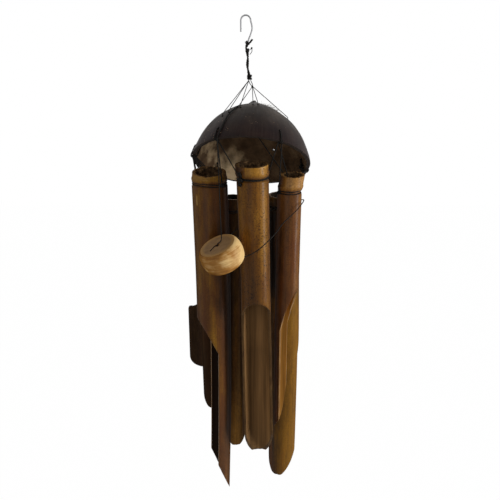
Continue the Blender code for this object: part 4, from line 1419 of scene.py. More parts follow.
class CulmMesh:
    """A tube's points and faces: skin, cup, bore, mouth and tongue, with each face's finish."""

    def __init__(self, culm):
        self.culm = culm
        self.points, self.culm_places, self.faces, self.finishes = [], [], [], []
        self.outer = culm["radius"]
        self.inner = self.outer - WALL
        self.edge = culm["open"] * COLUMNS // TURN_PARTS
        self.phase = math.radians(culm["mouth"])
        self.length = culm["length"]
        self.body = culm["tie"] * MM + GROOVE_FLAT + GROOVE_SLOPE

    def point(self, column, radius, depth):
        """A point's number. Its place has the culm's waver, bow, flare and waist."""
        culm = self.culm
        turn = self.phase + 2 * math.pi * column / COLUMNS
        down = max(0.0, depth - self.body) / (self.length - self.body)
        bend = 4 * down * (1 - down) * MM
        stray = outward(math.degrees(turn)) * WAVER_ROUND
        stray.z = depth * WAVER_ALONG + 10 * culm["seed"]
        wall_share = min(1.0, radius / self.inner)
        reach = radius + CULM_WAVER * noise.noise(stray) * wall_share
        over = max(0.0, 1 - depth / (culm["tie"] * MM)) * MM * wall_share
        shift, widen = culm["flare"]
        middle, half, size, aside = culm["waist"]
        waist = MM * math.exp(-(((depth / MM - middle) / half) ** 2))
        reach += over * widen - size * waist
        x = reach * math.cos(turn) + bend * culm["bow"] + over * shift + aside * waist
        self.points.append((x, reach * math.sin(turn), -depth))
        self.culm_places.append((math.cos(turn), math.sin(turn), depth))
        return len(self.points) - 1

    def chip(self, column, size, rate):
        """A sawn edge's unevenness at a column."""
        turn = 2 * math.pi * column / COLUMNS
        spot = Vector((rate * math.cos(turn), rate * math.sin(turn), 3.0 * self.culm["seed"]))
        return size * (noise.noise(spot) + 0.5 * noise.noise(spot * 2.7))

    def slope(self, column, radius):
        return radius / self.outer * math.cos(2 * math.pi * column / COLUMNS)

    def mouth(self, column, radius):
        """The depth of the mouth's cut at a column; behind its edges it stays level."""
        start, rise = (value * MM for value in self.culm["cut"])
        column = (column + COLUMNS // 2) % COLUMNS - COLUMNS // 2
        held = max(-self.edge, min(self.edge, column))
        depth = start + rise * (1 - self.slope(held, self.outer)) + self.chip(column, 0.5 * CUT_CHIPS, 5.0)
        near_edge = max(0.0, 1 - (self.edge - abs(held)) / (CORNER_SHARE * self.edge))
        depth += self.culm["corner"] * MM * near_edge**2
        return depth + (self.outer - radius) * MOUTH_LEAN * self.slope(held, self.outer)

    def tip(self, column, radius):
        """The depth of the tongue's end at a column."""
        tip, flat, slant, power = self.culm["tip"]
        short = tip * MM * max(0.0, 1 + self.slope(column, radius) - flat) / (1 - flat)
        aside = math.sin(2 * math.pi * column / COLUMNS)
        short += slant * MM * max(0.0, aside) ** power
        return self.length - short + self.chip(column, CUT_CHIPS, 6.0)

    def bridge(self, first, second, finish, columns=None):
        for k in columns or range(COLUMNS):
            beside = (k + 1) % COLUMNS
            self.faces.append((first[k], second[k], second[beside], first[beside]))
            self.finishes.append(finish)

    def fan(self, ring, centre, finish):
        for k in range(COLUMNS):
            self.faces.append((ring[k], centre, ring[(k + 1) % COLUMNS]))
            self.finishes.append(finish)

    def saw(self, column):
        """How far under the tube's top its sawn end is at a column: lower in front, and ragged."""
        turn = self.phase + 2 * math.pi * column / COLUMNS
        ragged = self.culm["ragged"] * MM
        drop = self.culm["slant"] * MM * (1 - math.sin(turn)) / 2 - self.culm["lift"] * MM
        return drop + abs(self.chip(column, ragged, 3.0)) + abs(self.chip(column, 0.3 * ragged, 9.0))

    def skin_rings(self):
        """The outside from the sawn top down to the mouth, closely spaced as far as the groove."""
        rings = []
        depths = list(TOP_DEPTHS)
        while depths[-1] < self.body + GROOVE_MARGIN:
            depths.append(depths[-1] + TOP_STEP)
        for depth in depths:
            ease = max(0.0, 1 - depth / SAW_EASE)
            reach = self.outer + skin_rise(self.culm, depth)
            rings.append([self.point(k, reach, depth + ease * self.saw(k)) for k in range(COLUMNS)])
        shares = [row / BODY_ROWS for row in range(1, BODY_ROWS + 1)]
        return rings + self.rings_to_mouth(self.outer, depths[-1], shares)

    def rings_to_mouth(self, radius, start, shares):
        """Rings at shares of the way from a depth down to the mouth's cut."""
        rings = []
        for share in shares:
            ends = [start + (self.mouth(k, radius) - start) * share for k in range(COLUMNS)]
            rings.append([self.point(k, radius, ends[k]) for k in range(COLUMNS)])
        return rings

    def cup(self, rim):
        """The hollow over the septum, from the rim's ring down to the middle."""
        rings = [rim]
        for share in CUP_SHARES:
            depths = [CUP_DEPTH * share + (1 - share) * self.saw(k) for k in range(COLUMNS)]
            rings.append([self.point(k, self.inner, depths[k]) for k in range(COLUMNS)])
        self.bridge(rings[1], rings[0], CUT)
        for first, second in zip(rings[1:], rings[2:]):
            self.bridge(second, first, BARK)
        self.fan(rings[-1][::-1], self.point(0, 0.0, CUP_DEPTH + SEPTUM_DIP), BARK)

    def bore_rings(self):
        """The inside from the septum down to the mouth."""
        start = CUP_DEPTH + SEPTUM
        shares = [row / BORE_ROWS for row in range(BORE_ROWS + 1)]
        rings = self.rings_to_mouth(self.inner, start, shares)
        self.fan(rings[0], self.point(0, 0.0, start), LINING)
        return rings

    def tongue(self, skin, lining):
        """The tongue's rows of skin and lining under the mouth, with its split sides and its tip."""
        columns = range(self.edge, COLUMNS - self.edge + 1)
        skins, linings = [skin], [lining]
        for row in range(1, TONGUE_ROWS + 1):
            share = row / TONGUE_ROWS
            worn = self.culm["thin"] * MM * share
            for lines, radius, wear in ((skins, self.outer, 0.0), (linings, self.inner, worn)):
                line = {}
                for k in columns:
                    start, end = self.mouth(k, radius), self.tip(k, radius)
                    line[k] = self.point(k, radius + wear, start + (end - start) * share)
                lines.append(line)
        for row in range(TONGUE_ROWS):
            self.bridge(skins[row], skins[row + 1], SKIN, columns[:-1])
            self.bridge(linings[row + 1], linings[row], LINING, columns[:-1])
            for k, flip in ((self.edge, -1), (COLUMNS - self.edge, 1)):
                side = (skins[row][k], skins[row + 1][k], linings[row + 1][k], linings[row][k])
                self.faces.append(side[::flip])
                self.finishes.append(CUT)
        self.bridge(skins[-1], linings[-1], CUT, columns[:-1])

    def build(self):
        """All of the tube's faces, from its top to its tongue."""
        skins = self.skin_rings()
        for first, second in zip(skins, skins[1:]):
            self.bridge(first, second, SKIN)
        self.cup(skins[0])
        bores = self.bore_rings()
        for first, second in zip(bores, bores[1:]):
            self.bridge(second, first, LINING)
        front = [k % COLUMNS for k in range(-self.edge, self.edge)]
        self.bridge(skins[-1], bores[-1], CUT, front)
        self.tongue(skins[-1], bores[-1])


def build_culm_grain():
    """Shader group: the streaks, fibres and dark specks that run up a culm."""
    inputs = dict.fromkeys(("Seed", "Streak Scale", "Fibre Scale", "Stretch"), "Float")
    outputs = ("Streaks", "Fibres", "Flame", "Mottle", "Blush", "Grit", "Dots", "Specks")
    tree, given = new_tree("culm_grain", "ShaderNodeTree", inputs, dict.fromkeys(outputs, "Float"))
    spot = object_spot(tree)
    pull = add_node(tree, "ShaderNodeCombineXYZ", {"X": 1.0, "Y": 1.0, "Z": given["Stretch"]}).outputs[0]
    long_way = vector_maths(tree, "MULTIPLY", spot, pull)
    squat = add_node(tree, "ShaderNodeMapping", {"Vector": spot, "Scale": (1.0, 1.0, 0.3)}).outputs[0]
    streaks = noise_value(tree, given["Streak Scale"], 3.0, given["Seed"], long_way)
    fibres = noise_value(tree, given["Fibre Scale"], 2.0, given["Seed"], long_way)
    flame = noise_value(tree, 22.0, 3.0, given["Seed"], squat)
    mottle = noise_value(tree, 210.0, 4.0, given["Seed"], squat, 0.65)
    dots = spread(tree, noise_value(tree, 640.0, 2.0, given["Seed"], spot), 0.55, 0.61)
    where = spread(tree, noise_value(tree, 30.0, 2.0, given["Seed"], squat), 0.40, 0.56)
    specks = maths(tree, "MULTIPLY", dots, where)
    slow = add_node(tree, "ShaderNodeMapping", {"Vector": spot, "Scale": (1.0, 1.0, 0.12)}).outputs[0]
    blush = spread(tree, noise_value(tree, 90.0, 2.0, given["Seed"], slow), 0.50, 0.66, 0.0, 0.42)
    grit = spread(tree, noise_value(tree, 900.0, 3.0, given["Seed"], spot), 0.3, 0.7, 0.80, 1.20)
    results = (streaks, fibres, flame, mottle, blush, grit, dots, specks)
    add_node(tree, "NodeGroupOutput", dict(zip(outputs, results)))
    return tree


def build_culm_patch():
    """Shader group: a soft patch on a culm, round an azimuth and between two depths."""
    inputs = {"Place": "Vector", **dict.fromkeys(("Azimuth", "Width", "From", "To", "Fade"), "Float")}
    tree, given = new_tree("culm_patch", "ShaderNodeTree", inputs, {"Mask": "Float"})
    parts = add_node(tree, "ShaderNodeSeparateXYZ", {0: given["Place"]}).outputs
    turn = maths(tree, "RADIANS", given["Azimuth"])
    facing = maths(tree, "MULTIPLY", parts["X"], maths(tree, "COSINE", turn))
    facing = maths(tree, "MULTIPLY_ADD", parts["Y"], maths(tree, "SINE", turn), facing)
    limit = maths(tree, "COSINE", maths(tree, "RADIANS", given["Width"]))
    round_share = maths(tree, "POWER", spread(tree, facing, limit, 1.0), 0.6)
    top = spread(tree, maths(tree, "SUBTRACT", parts["Z"], given["From"]), 0.0, given["Fade"])
    bottom = spread(tree, maths(tree, "SUBTRACT", given["To"], parts["Z"]), 0.0, given["Fade"])
    mask = maths(tree, "MULTIPLY", round_share, maths(tree, "MULTIPLY", top, bottom))
    add_node(tree, "NodeGroupOutput", {"Mask": mask})
    return tree


CULM_GRAIN = build_culm_grain()
CULM_PATCH = build_culm_patch()


def grain_of(tree, seed, streaks=95.0, fibres=1100.0, stretch=0.02):
    """The culm grain group's outputs, with its own values."""
    inputs = {"Seed": seed, "Streak Scale": streaks, "Fibre Scale": fibres, "Stretch": stretch}
    return add_node(tree, "ShaderNodeGroup", inputs, node_tree=CULM_GRAIN).outputs


def darkened(tree, colour, value):
    """A colour times a value."""
    parts = dict.fromkeys(("Red", "Green", "Blue"), value)
    grey = add_node(tree, "ShaderNodeCombineColor", parts).outputs[0]
    return mix_colour(tree, 1.0, colour, grey, "MULTIPLY")


def share_of(stops, share):
    """A ramp's stops with a share of their colours."""
    return [(place, tuple(share * part for part in colour)) for place, colour in stops]


def patch_masks(tree, patches):
    """Each patch's mask on the culm, with the patch's strength."""
    place = add_node(tree, "ShaderNodeAttribute", attribute_name="culm").outputs["Vector"]
    for azimuth, width, start, end, strength in patches:
        inputs = {"Place": place, "Azimuth": azimuth, "Width": width, "From": start * MM, "To": end * MM}
        inputs["Fade"] = PATCH_FADE * (end - start) * MM
        yield add_node(tree, "ShaderNodeGroup", inputs, node_tree=CULM_PATCH).outputs["Mask"], strength


def face_gloss(tree, shader, gloss):
    """Gloss that fades to none where the surface turns away."""
    edge = add_node(tree, "ShaderNodeLayerWeight", {"Blend": 0.5}).outputs["Facing"]
    feed(tree, shader, Specular_IOR_Level=gloss)
    feed(tree, shader, Specular_IOR_Level=spread(tree, edge, 0.25, 0.6, gloss, 0.0))


def culm_skin(name, culm):
    """Flame-browned, varnished bamboo skin, with this tube's patches of tone and of painted shade."""
    made, tree, shader = new_finish(f"bamboo_skin_{name}")
    grain = grain_of(tree, culm["seed"])
    level = maths(tree, "MULTIPLY", grain["Streaks"], 0.36)
    level = maths(tree, "MULTIPLY_ADD", grain["Flame"], 0.39, level)
    level = maths(tree, "MULTIPLY_ADD", grain["Mottle"], 0.25, level)
    blush = grain["Blush"]
    for mask, strength in patch_masks(tree, culm["patches"]):
        level = maths(tree, "MULTIPLY_ADD", mask, strength, level)
        if strength > GOLD_PATCH:
            blush = maths(tree, "MULTIPLY", blush, maths(tree, "SUBTRACT", 1.0, mask))
    pale = tuple(part * PALE_SHARE + bloom for part, bloom in zip(culm["gold"], PALE_BLOOM))
    # The darkest stop, under the dark colour, is there for the painted shade patches, which reach it.
    black = tuple(part * SHADE_BLACK_SHARE for part in culm["dark"])
    stops = ((0.16, black), (0.36, culm["dark"]), (0.5, culm["brown"]), (0.66, culm["gold"]), (0.86, pale))
    red = tuple(part * share for part, share in zip(culm["brown"], BLUSH))
    colour = mix_colour(tree, blush, ramp(tree, level, stops), (*red, 1.0))
    fine = maths(tree, "MULTIPLY", spread(tree, grain["Fibres"], 0.3, 0.7, 0.84, 1.14), grain["Grit"])
    shaded = darkened(tree, colour, fine)
    dots = maths(tree, "MULTIPLY", grain["Specks"], culm["speckle"])
    for mask, strength in patch_masks(tree, culm["freckles"]):
        thick = maths(tree, "MULTIPLY", grain["Dots"], maths(tree, "MULTIPLY", mask, strength))
        dots = maths(tree, "MAXIMUM", dots, thick)
    specked = mix_colour(tree, dots, shaded, (0.020, 0.009, 0.003, 1.0))
    feed(tree, shader, Base_Color=specked, Roughness=spread(tree, grain["Fibres"], 0.3, 0.7, 0.25, 0.4))
    face_gloss(tree, shader, culm["gloss"])
    feed(tree, shader, Sheen_Weight=SHEEN_SHARE * culm["gloss"], Sheen_Roughness=0.45)
    feed(tree, shader, Normal=bump(tree, grain["Fibres"], 0.05 * MM, 0.5))
    return made


def culm_lining(name, culm):
    """The dry, unvarnished inner wall."""
    made, tree, shader = new_finish(f"bamboo_lining_{name}")
    grain = grain_of(tree, culm["seed"] + 20.0, 170.0)
    shades = ((0.34, 0.62), (0.52, 1.0), (0.7, 1.45))
    stops = [(place, tuple(share * part for part in culm["lining"])) for place, share in shades]
    colour = ramp(tree, grain["Streaks"], stops)
    fine = spread(tree, grain["Fibres"], 0.3, 0.7, 0.8, 1.15)
    fine = maths(tree, "MULTIPLY", fine, spread(tree, grain["Flame"], 0.3, 0.7, 0.78, 1.22))
    for mask, strength in patch_masks(tree, culm["fades"]):
        fine = maths(tree, "MULTIPLY", fine, maths(tree, "MULTIPLY_ADD", mask, strength, 1.0))
    shaded = darkened(tree, colour, fine)
    feed(tree, shader, Base_Color=shaded, Roughness=spread(tree, grain["Fibres"], 0.3, 0.7, 0.45, 0.6))
    feed(tree, shader, Specular_IOR_Level=0.03)
    feed(tree, shader, Normal=bump(tree, grain["Fibres"], 0.1 * MM, 0.5))
    return made


def culm_cut(name, culm):
    """Sawn and split faces: paler, with the dark ends of the fibres."""
    made, tree, shader = new_finish(f"bamboo_cut_{name}")
    grain = grain_of(tree, culm["seed"] + 40.0, 300.0, 1600.0, 0.25)
    stops = ((0.3, (0.10, 0.046, 0.012)), (0.55, (0.20, 0.10, 0.030)), (0.75, (0.33, 0.19, 0.07)))
    colour = ramp(tree, grain["Streaks"], share_of(stops, culm["sawn"]))
    dots = spread(tree, grain["Fibres"], 0.58, 0.7, 0.0, 0.6)
    colour = mix_colour(tree, dots, colour, (0.05, 0.026, 0.012, 1.0))
    feed(tree, shader, Base_Color=colour, Roughness=0.62, Specular_IOR_Level=0.15)
    feed(tree, shader, Normal=bump(tree, grain["Fibres"], 0.15 * MM, 0.7))
    return made


def culm_bark(name, culm):
    """The rough, dark septum and the wall over it."""
    made, tree, shader = new_finish(f"bamboo_septum_{name}")
    cloud = noise_value(tree, 300.0, 5.0, culm["seed"])
    stops = ((0.35, (0.022, 0.012, 0.006)), (0.52, (0.09, 0.05, 0.022)), (0.68, (0.26, 0.155, 0.07)))
    colour = ramp(tree, cloud, share_of(stops, culm["bark"]))
    feed(tree, shader, Base_Color=colour, Roughness=0.8, Specular_IOR_Level=0.1)
    feed(tree, shader, Normal=bump(tree, cloud, 0.8 * MM))
    return made


def ease_edges(source, width, angle=50.0):
    """A narrow round on the edges that are sharper than an angle."""
    easing = source.modifiers.new("eased_edges", "BEVEL")
    easing.width = width
    easing.segments = 2
    easing.limit_method = "ANGLE"
    easing.angle_limit = math.radians(angle)


def dress_tube(name, culm):
    """A tube's mesh with its four finishes, its edges eased."""
    form = CulmMesh(culm)
    form.build()
    source = mesh_object(f"culm_{name}", form.points, faces=form.faces)
    data = source.data
    data.polygons.foreach_set("material_index", form.finishes)
    place = data.attributes.new("culm", "FLOAT_VECTOR", "POINT")
    place.data.foreach_set("vector", [value for spot in form.culm_places for value in spot])
    for finish in (culm_skin, culm_lining, culm_cut, culm_bark):
        data.materials.append(finish(name, culm))
    data.transform(culm_frame(culm))
    ease_edges(source, EDGE_EASE)
    piece = shade(plain_mesh(source, f"bamboo_{name}"))
    fix(piece, name, f"tube_{name}", slot="bamboo")


for name, culm in CULMS.items():
    dress_tube(name, culm)

# Ties and slings: two turns of cord in each tube's groove, knotted at both sides, and a sling from each
# knot up to the rim lashing on that side. The knots' cut ends are left standing.
TIE_CORD = 0.52 * MM
TIE_SINK = 0.75 * MM
TIE_RISE = 0.95 * MM
TIE_SWAY = 0.25 * MM
TIE_POINTS = 72
SLING_CORD = 0.62 * MM
TIE_KNOT = 2.0 * MM
TIE_KNOTS = {"front_middle": (3.2 * MM, 1.3 * MM)}
TIE_RISES = {"front_middle": 0.5 * MM, "front_right": 1.15 * MM}
TIE_TILTS = {"front_left": 0.9 * MM}
KNOT_CLEAR = 0.4 * MM
KNOT_OUT = 0.6
KNOT_OUTS = {"front_middle": 0.35}
KNOT_TURNS = {
    ("front_left", "a"): -35.0,
    ("front_left", "b"): 26.0,
    ("front_middle", "a"): 46.0,
    ("front_middle", "b"): 40.0,
    ("front_right", "a"): -35.0,
    ("front_right", "b"): 30.0,
}
EXTRA_KNOTS = {("front_middle", "a"): ((5.0, 2.7), (-4.2, 2.2)), ("front_right", "b"): ((3.0, 2.0),)}
EXTRA_OUT = 0.8 * MM
EXTRA_LEAN = Vector((0.0, 0.4, 0.5))
TIE_END_LENGTHS = (2.4 * MM, 3.6 * MM)
TIE_END_CORD = 0.8 * TIE_CORD
TIE_END_OUT = 0.55
TIE_END_ASIDE = 0.8
TIE_END_RISE = (-1.0, 0.2)
TIE_END_SAG = 0.3
SLING_STRANDS = {("front_left", "a"): 5, ("front_right", "b"): 4, ("rear_left", "b"): 3}
SLING_SHIFTS = {("front_left", "b"): 5.4 * MM}
SLING_LIFT = 0.3
STRAND_APART = 1.15 * MM
STRAND_BULGE = 1.3
STRAND_FANS = {("front_left", "a"): -6.0}


def sling_ends(node):
    """The upper and lower end of a straight sling."""
    co = np.array([vertex.co for vertex in frame["nodes"][node].data.vertices])
    upper = co[:, 2] > (co[:, 2].max() + co[:, 2].min()) / 2
    return Vector(co[upper].mean(0)), Vector(co[~upper].mean(0))


def groove_turns(name, culm):
    """The tie's two turns in the groove, one over the other."""
    radius = culm["radius"] - TIE_SINK
    rise = TIE_RISES.get(name, TIE_RISE)
    turns = []
    for lift in (-rise, rise):
        ring = []
        for k in range(TIE_POINTS):
            turn = 2 * math.pi * k / TIE_POINTS
            sway = TIE_SWAY * math.sin(3 * turn + culm["seed"]) - TIE_TILTS.get(name, 0.0) * math.cos(turn)
            z = lift + sway - culm["tie"] * MM
            ring.append(culm_frame(culm) @ Vector((radius * math.cos(turn), radius * math.sin(turn), z)))
        turns.append(ring)
    return lay_cord("turns", turns, TIE_CORD, closed=True)


def cut_ends(spot, out, chance):
    """A knot's two cut ends, each standing out its own way and sagging."""
    ends = []
    for length in TIE_END_LENGTHS:
        along = Vector((-out.y, out.x, 0.0)) * chance.uniform(-TIE_END_ASIDE, TIE_END_ASIDE)
        up = Vector((0, 0, chance.uniform(*TIE_END_RISE)))
        way = (out * TIE_END_OUT + along + up).normalized()
        sag = Vector((0.0, 0.0, -TIE_END_SAG * length))
        ends.append(smooth_route([spot, spot + way * length * 0.6, spot + way * length + sag], FINE_STEP))
    return ends


def hang_sling(name, side, top, foot, centre, out, hinge, size):
    """A sling of one strand or several, side by side at the rim, from its lashing to its knot."""
    strands = []
    count = SLING_STRANDS.get((name, side), 1)
    for k in range(count):
        aside = hinge * STRAND_APART * (k - (count - 1) / 2)
        fan = Matrix.Rotation(math.radians(STRAND_FANS.get((name, side), 0.0) * k), 3, "Z")
        end = centre + fan @ (foot - centre) + Vector((0.0, 0.0, SLING_LIFT * size))
        middle = top.lerp(end, 0.5) + aside * STRAND_BULGE + out * 0.5 * STRAND_APART * (k % 2)
        strands.append(smooth_route([top + aside, middle, end]))
    fix(lay_cord(f"sling_cord_{name}_{side}", strands, SLING_CORD), name, f"sling_{name}_{side}")


def tie_tube(name, culm):
    """A tube's slings, and its tie: the turns, a knot under each sling and the knots' cut ends."""
    chance = random.Random(name)
    centre = culm_frame(culm) @ Vector((0.0, 0.0, -culm["tie"] * MM))
    knots, ends = [], []
    tops = [sling_ends(f"sling_{name}_{side}")[0] for side in "ab"]
    hinge = (tops[1] - tops[0]).normalized()
    for side, size in zip("ab", TIE_KNOTS.get(name, (TIE_KNOT, TIE_KNOT))):
        top, foot = sling_ends(f"sling_{name}_{side}")
        top += hinge * SLING_SHIFTS.get((name, side), 0.0)
        out = (foot - centre).to_2d().normalized().to_3d()
        out.rotate(Matrix.Rotation(math.radians(KNOT_TURNS.get((name, side), 0.0)), 3, "Z"))
        reach = culm["radius"] - TIE_SINK + KNOT_CLEAR + KNOT_OUTS.get(name, KNOT_OUT) * size
        spot = centre + out * reach
        knots.append(tie_knot("knot", spot, size, out))
        for lift, other in EXTRA_KNOTS.get((name, side), ()):
            raised = spot + Vector((0.0, 0.0, lift * MM)) + out * EXTRA_OUT
            knots.append(tie_knot("knot", raised, other * MM, out + EXTRA_LEAN))
        ends += cut_ends(spot, out, chance)
        hang_sling(name, side, top, spot, centre, out, hinge, size)
    loose = lay_cord("ends", ends, TIE_END_CORD)
    tie = joined(f"tie_cord_{name}", [groove_turns(name, culm), loose, *knots])
    fix(tie, name, f"tie_{name}")


for name, culm in CULMS.items():
    tie_tube(name, culm)

# Inner stays: two thin lengths of the same cord inside the shell, one from a canopy cord's hole and one
# from the right front sling hole, down to the back of the right front tube's tie.
STAY_CORD = 0.62 * MM
LONG_STEP = 2.0 * MM
# Each stay's azimuth, angle and lift at the shell, and its azimuth at the tube
STAY_SPOTS = ((-112.5, 43.5, -5.0 * MM, 60.0), (-66.0, 76.0, -6.0 * MM, 78.0))


def hang_stays():
    """Both stays as one piece, which bends between the shell and the tube."""
    culm = CULMS["front_right"]
    routes = []
    for azimuth, angle, lift, foot in STAY_SPOTS:
        end = outward(foot) * (culm["radius"] - TIE_SINK) - Vector((0.0, 0.0, culm["tie"] * MM))
        start = on_shell(azimuth, angle, lift)
        routes.append(smooth_route([start, culm_frame(culm) @ end], LONG_STEP))
    stays = lay_cord("inner_stays", routes, STAY_CORD)
    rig.blend(stays, "canopy", "front_right", start=routes[0][0], end=routes[0][-1])
    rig.slot(stays, "waxed_cord")


hang_stays()

# Clapper: a puck turned from a pale branch, sanded and thinly varnished, with a hole down its middle.
# It strikes the tubes, spins on the knot under it, and hangs on a thin cord from the shell's rim.
CLAPPER_EDGE = 0.35 * MM
CLAPPER_EDGE_ANGLE = 34.0
CLAPPER_LEVELS = 2
MERGE = 0.001 * MM
PAIR_FLATNESS = math.radians(8)
PAIR_SHAPE = math.radians(60)
CLAPPER_HALF = 11.0 * MM
SHOULDER = (12.8 * MM, 15.4 * MM)
FACE_LEAN = 0.93
CLAPPER_GLOSS = 0.12
JOINTS = {joint["name"]: joint for joint in frame["joints"]}
CLAPPER_CENTRE = Vector(JOINTS["clapper_spin"]["pos_m"])
CLAPPER_AXIS = Vector(JOINTS["clapper_spin"]["axis"]).normalized()
LAYER_LEAN = Vector((0.10, 0.16, 0.0))
GRAIN_DRAW = 0.16
# The side towards the lamp at the right, and how far the painted light on it spreads.
PAINTED_LIGHT_SIDE = Vector((0.9, -0.1, 0.4)).normalized()
PAINTED_LIGHT_REACH = 20.0 * MM


def from_clapper(tree):
    """Where a point of the puck is, from its centre."""
    return vector_maths(tree, "SUBTRACT", object_spot(tree), tuple(CLAPPER_CENTRE))


def turned_wood():
    """Growth layers nearly square to the puck's axis, so that the side shows thin lines along its edges."""
    made, tree, shader = new_finish("turned_pale_wood")
    away = from_clapper(tree)
    lean = tuple((CLAPPER_AXIS + LAYER_LEAN).normalized())
    along = vector_maths(tree, "SCALE", lean, vector_maths(tree, "DOT_PRODUCT", away, lean))
    grain = vector_maths(tree, "ADD", along, vector_maths(tree, "SCALE", away, GRAIN_DRAW))
    streaks = noise_value(tree, 520.0, 4.0, 31.0, grain, 0.6)
    bands = noise_value(tree, 160.0, 2.0, 35.0, grain)
    cloud = noise_value(tree, 70.0, seed=36.0)
    level = maths(tree, "MULTIPLY_ADD", bands, 0.3, maths(tree, "MULTIPLY", streaks, 0.26))
    level = maths(tree, "MULTIPLY_ADD", cloud, 0.44, level)
    # Painted light: the wood is lighter on the side towards the lamp at the right and darker on the far side.
    aside = vector_maths(tree, "DOT_PRODUCT", away, tuple(PAINTED_LIGHT_SIDE))
    level = maths(tree, "ADD", level, spread(tree, aside, 0.0, PAINTED_LIGHT_REACH, -0.07, 0.13))
    stops = ((0.36, (0.24, 0.095, 0.018)), (0.47, (0.46, 0.212, 0.049)), (0.60, (0.86, 0.58, 0.25)))
    colour = ramp(tree, level, stops)
    fine = noise_value(tree, 1500.0, seed=32.0)
    flecks = spread(tree, fine, 0.62, 0.74, 0.0, 0.45)
    colour = mix_colour(tree, flecks, colour, (0.30, 0.15, 0.05, 1.0))
    feed(tree, shader, Base_Color=colour, Roughness=spread(tree, fine, 0.3, 0.7, 0.42, 0.58))
    face_gloss(tree, shader, CLAPPER_GLOSS)
    feed(tree, shader, Normal=bump(tree, level, 0.06 * MM, 0.5))
    return made


def end_grain():
    """Sanded end grain with dark pores, and a lighter shoulder round it."""
    made, tree, shader = new_finish("sanded_end_grain")
    cloud = noise_value(tree, 160.0, seed=33.0)
    pores = noise_value(tree, 1300.0, seed=34.0)
    colour = ramp(tree, cloud, ((0.3, (0.31, 0.175, 0.075)), (0.7, (0.47, 0.275, 0.125))))
    colour = mix_colour(tree, spread(tree, pores, 0.55, 0.75, 0.0, 0.5), colour, (0.14, 0.08, 0.045, 1.0))
    beside = vector_maths(tree, "CROSS_PRODUCT", from_clapper(tree), tuple(CLAPPER_AXIS))
    shoulder = spread(tree, vector_maths(tree, "LENGTH", beside), *SHOULDER)
    colour = mix_colour(tree, shoulder, colour, (0.56, 0.31, 0.105, 1.0))
    feed(tree, shader, Base_Color=colour, Roughness=0.66, Specular_IOR_Level=0.2)
    feed(tree, shader, Normal=bump(tree, pores, 0.06 * MM, 0.6))
    return made


def turn_clapper():
    """The CAD puck, its triangles merged and paired, its edges eased and its round side smoothed."""
    shape = bmesh.new()
    shape.from_mesh(frame["nodes"]["clapper"].data)
    bmesh.ops.remove_doubles(shape, verts=shape.verts, dist=MERGE)
    bmesh.ops.join_triangles(
        shape,
        faces=shape.faces,
        angle_face_threshold=PAIR_FLATNESS,
        angle_shape_threshold=PAIR_SHAPE,
    )
    source = from_bmesh(shape, "clapper_source")
    ease_edges(source, CLAPPER_EDGE, CLAPPER_EDGE_ANGLE)
    smoothing = source.modifiers.new("smoothed", "SUBSURF")
    smoothing.levels = CLAPPER_LEVELS
    smoothing.render_levels = CLAPPER_LEVELS
    puck = plain_mesh(source, "clapper_puck")
    puck.data.materials.clear()
    puck.data.materials.append(turned_wood())
    puck.data.materials.append(end_grain())
    for polygon in puck.data.polygons:
        polygon.material_index = int(abs(polygon.normal.dot(CLAPPER_AXIS)) > FACE_LEAN)
    return puck


fix(shade(turn_clapper()), "clapper", "clapper", slot="pale_wood")

# Clapper cord and knot: the thin line from the rim, lying over the puck's face and down through its hole
# to the knot that holds it. Its short cut end lies on the face.
LINE_RADIUS = 0.55 * MM
CLAPPER_LAY = Vector((4.2, 3.3, 2.7)) * MM
CLAPPER_KNOT_RADIUS = 2.7 * MM
CLAPPER_STUB = ((-2.6, -1.0, -1.0), (-6.2, -6.0, -3.6))


def clapper_route():
    """Down from the rim, over the puck's face to its hole, and through it."""
    face = CLAPPER_CENTRE + CLAPPER_AXIS * (CLAPPER_HALF + LINE_RADIUS + GAP)
    lay = CLAPPER_LAY - CLAPPER_AXIS * CLAPPER_LAY.dot(CLAPPER_AXIS)
    start, land = thick_route[-1], face + lay
    rise = (start - land).normalized()
    turn = 2 * LINE_RADIUS
    into = CLAPPER_CENTRE + CLAPPER_AXIS * (CLAPPER_HALF - turn)
    end = CLAPPER_CENTRE - CLAPPER_AXIS * (CLAPPER_HALF - GAP)
    hang = smooth_route([start, start.lerp(land, 0.5), land + rise * 2 * turn])
    corner = (land + rise * turn + land - lay.normalized() * turn) / 2
    lying = [corner, land - lay.normalized() * 2 * turn, face + lay.normalized() * turn]
    return [*hang, *lying, (face + into) / 2, into, end]


def run_line(piece, line, far_end, **more):
    """State a limp hanging cord along its line."""
    lengths = [(there - here).length for here, there in zip(line, line[1:])]
    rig.cord(
        piece,
        exit=line[0],
        length=sum(lengths),
        diameter=2 * LINE_RADIUS,
        far_end=far_end,
        stiffness="limp",
        lay="hanging",
        path=line,
        **more,
    )


clapper_line = clapper_route()
clapper_knot = tie_knot("clapper_knot_cord", middle_of("clapper_knot"), CLAPPER_KNOT_RADIUS, CLAPPER_AXIS)
fix(clapper_knot, "clapper_line", "clapper_knot")
face_middle = CLAPPER_CENTRE + CLAPPER_AXIS * (CLAPPER_HALF + 0.6 * LINE_RADIUS)
stub = [face_middle]
for way in in_mm(CLAPPER_STUB):
    stub.append(face_middle + way - CLAPPER_AXIS * way.dot(CLAPPER_AXIS))
clapper_end = lay_cord("clapper_cord_end", [smooth_route(stub, FINE_STEP)], 0.8 * LINE_RADIUS)
fix(clapper_end, "clapper_line")
clapper_cord = lay_cord("clapper_cord_length", [clapper_line], LINE_RADIUS)
fix(clapper_cord, "clapper_line", "clapper_cord")
run_line(clapper_cord, clapper_line, "knot", with_pieces=[clapper_knot, clapper_end])

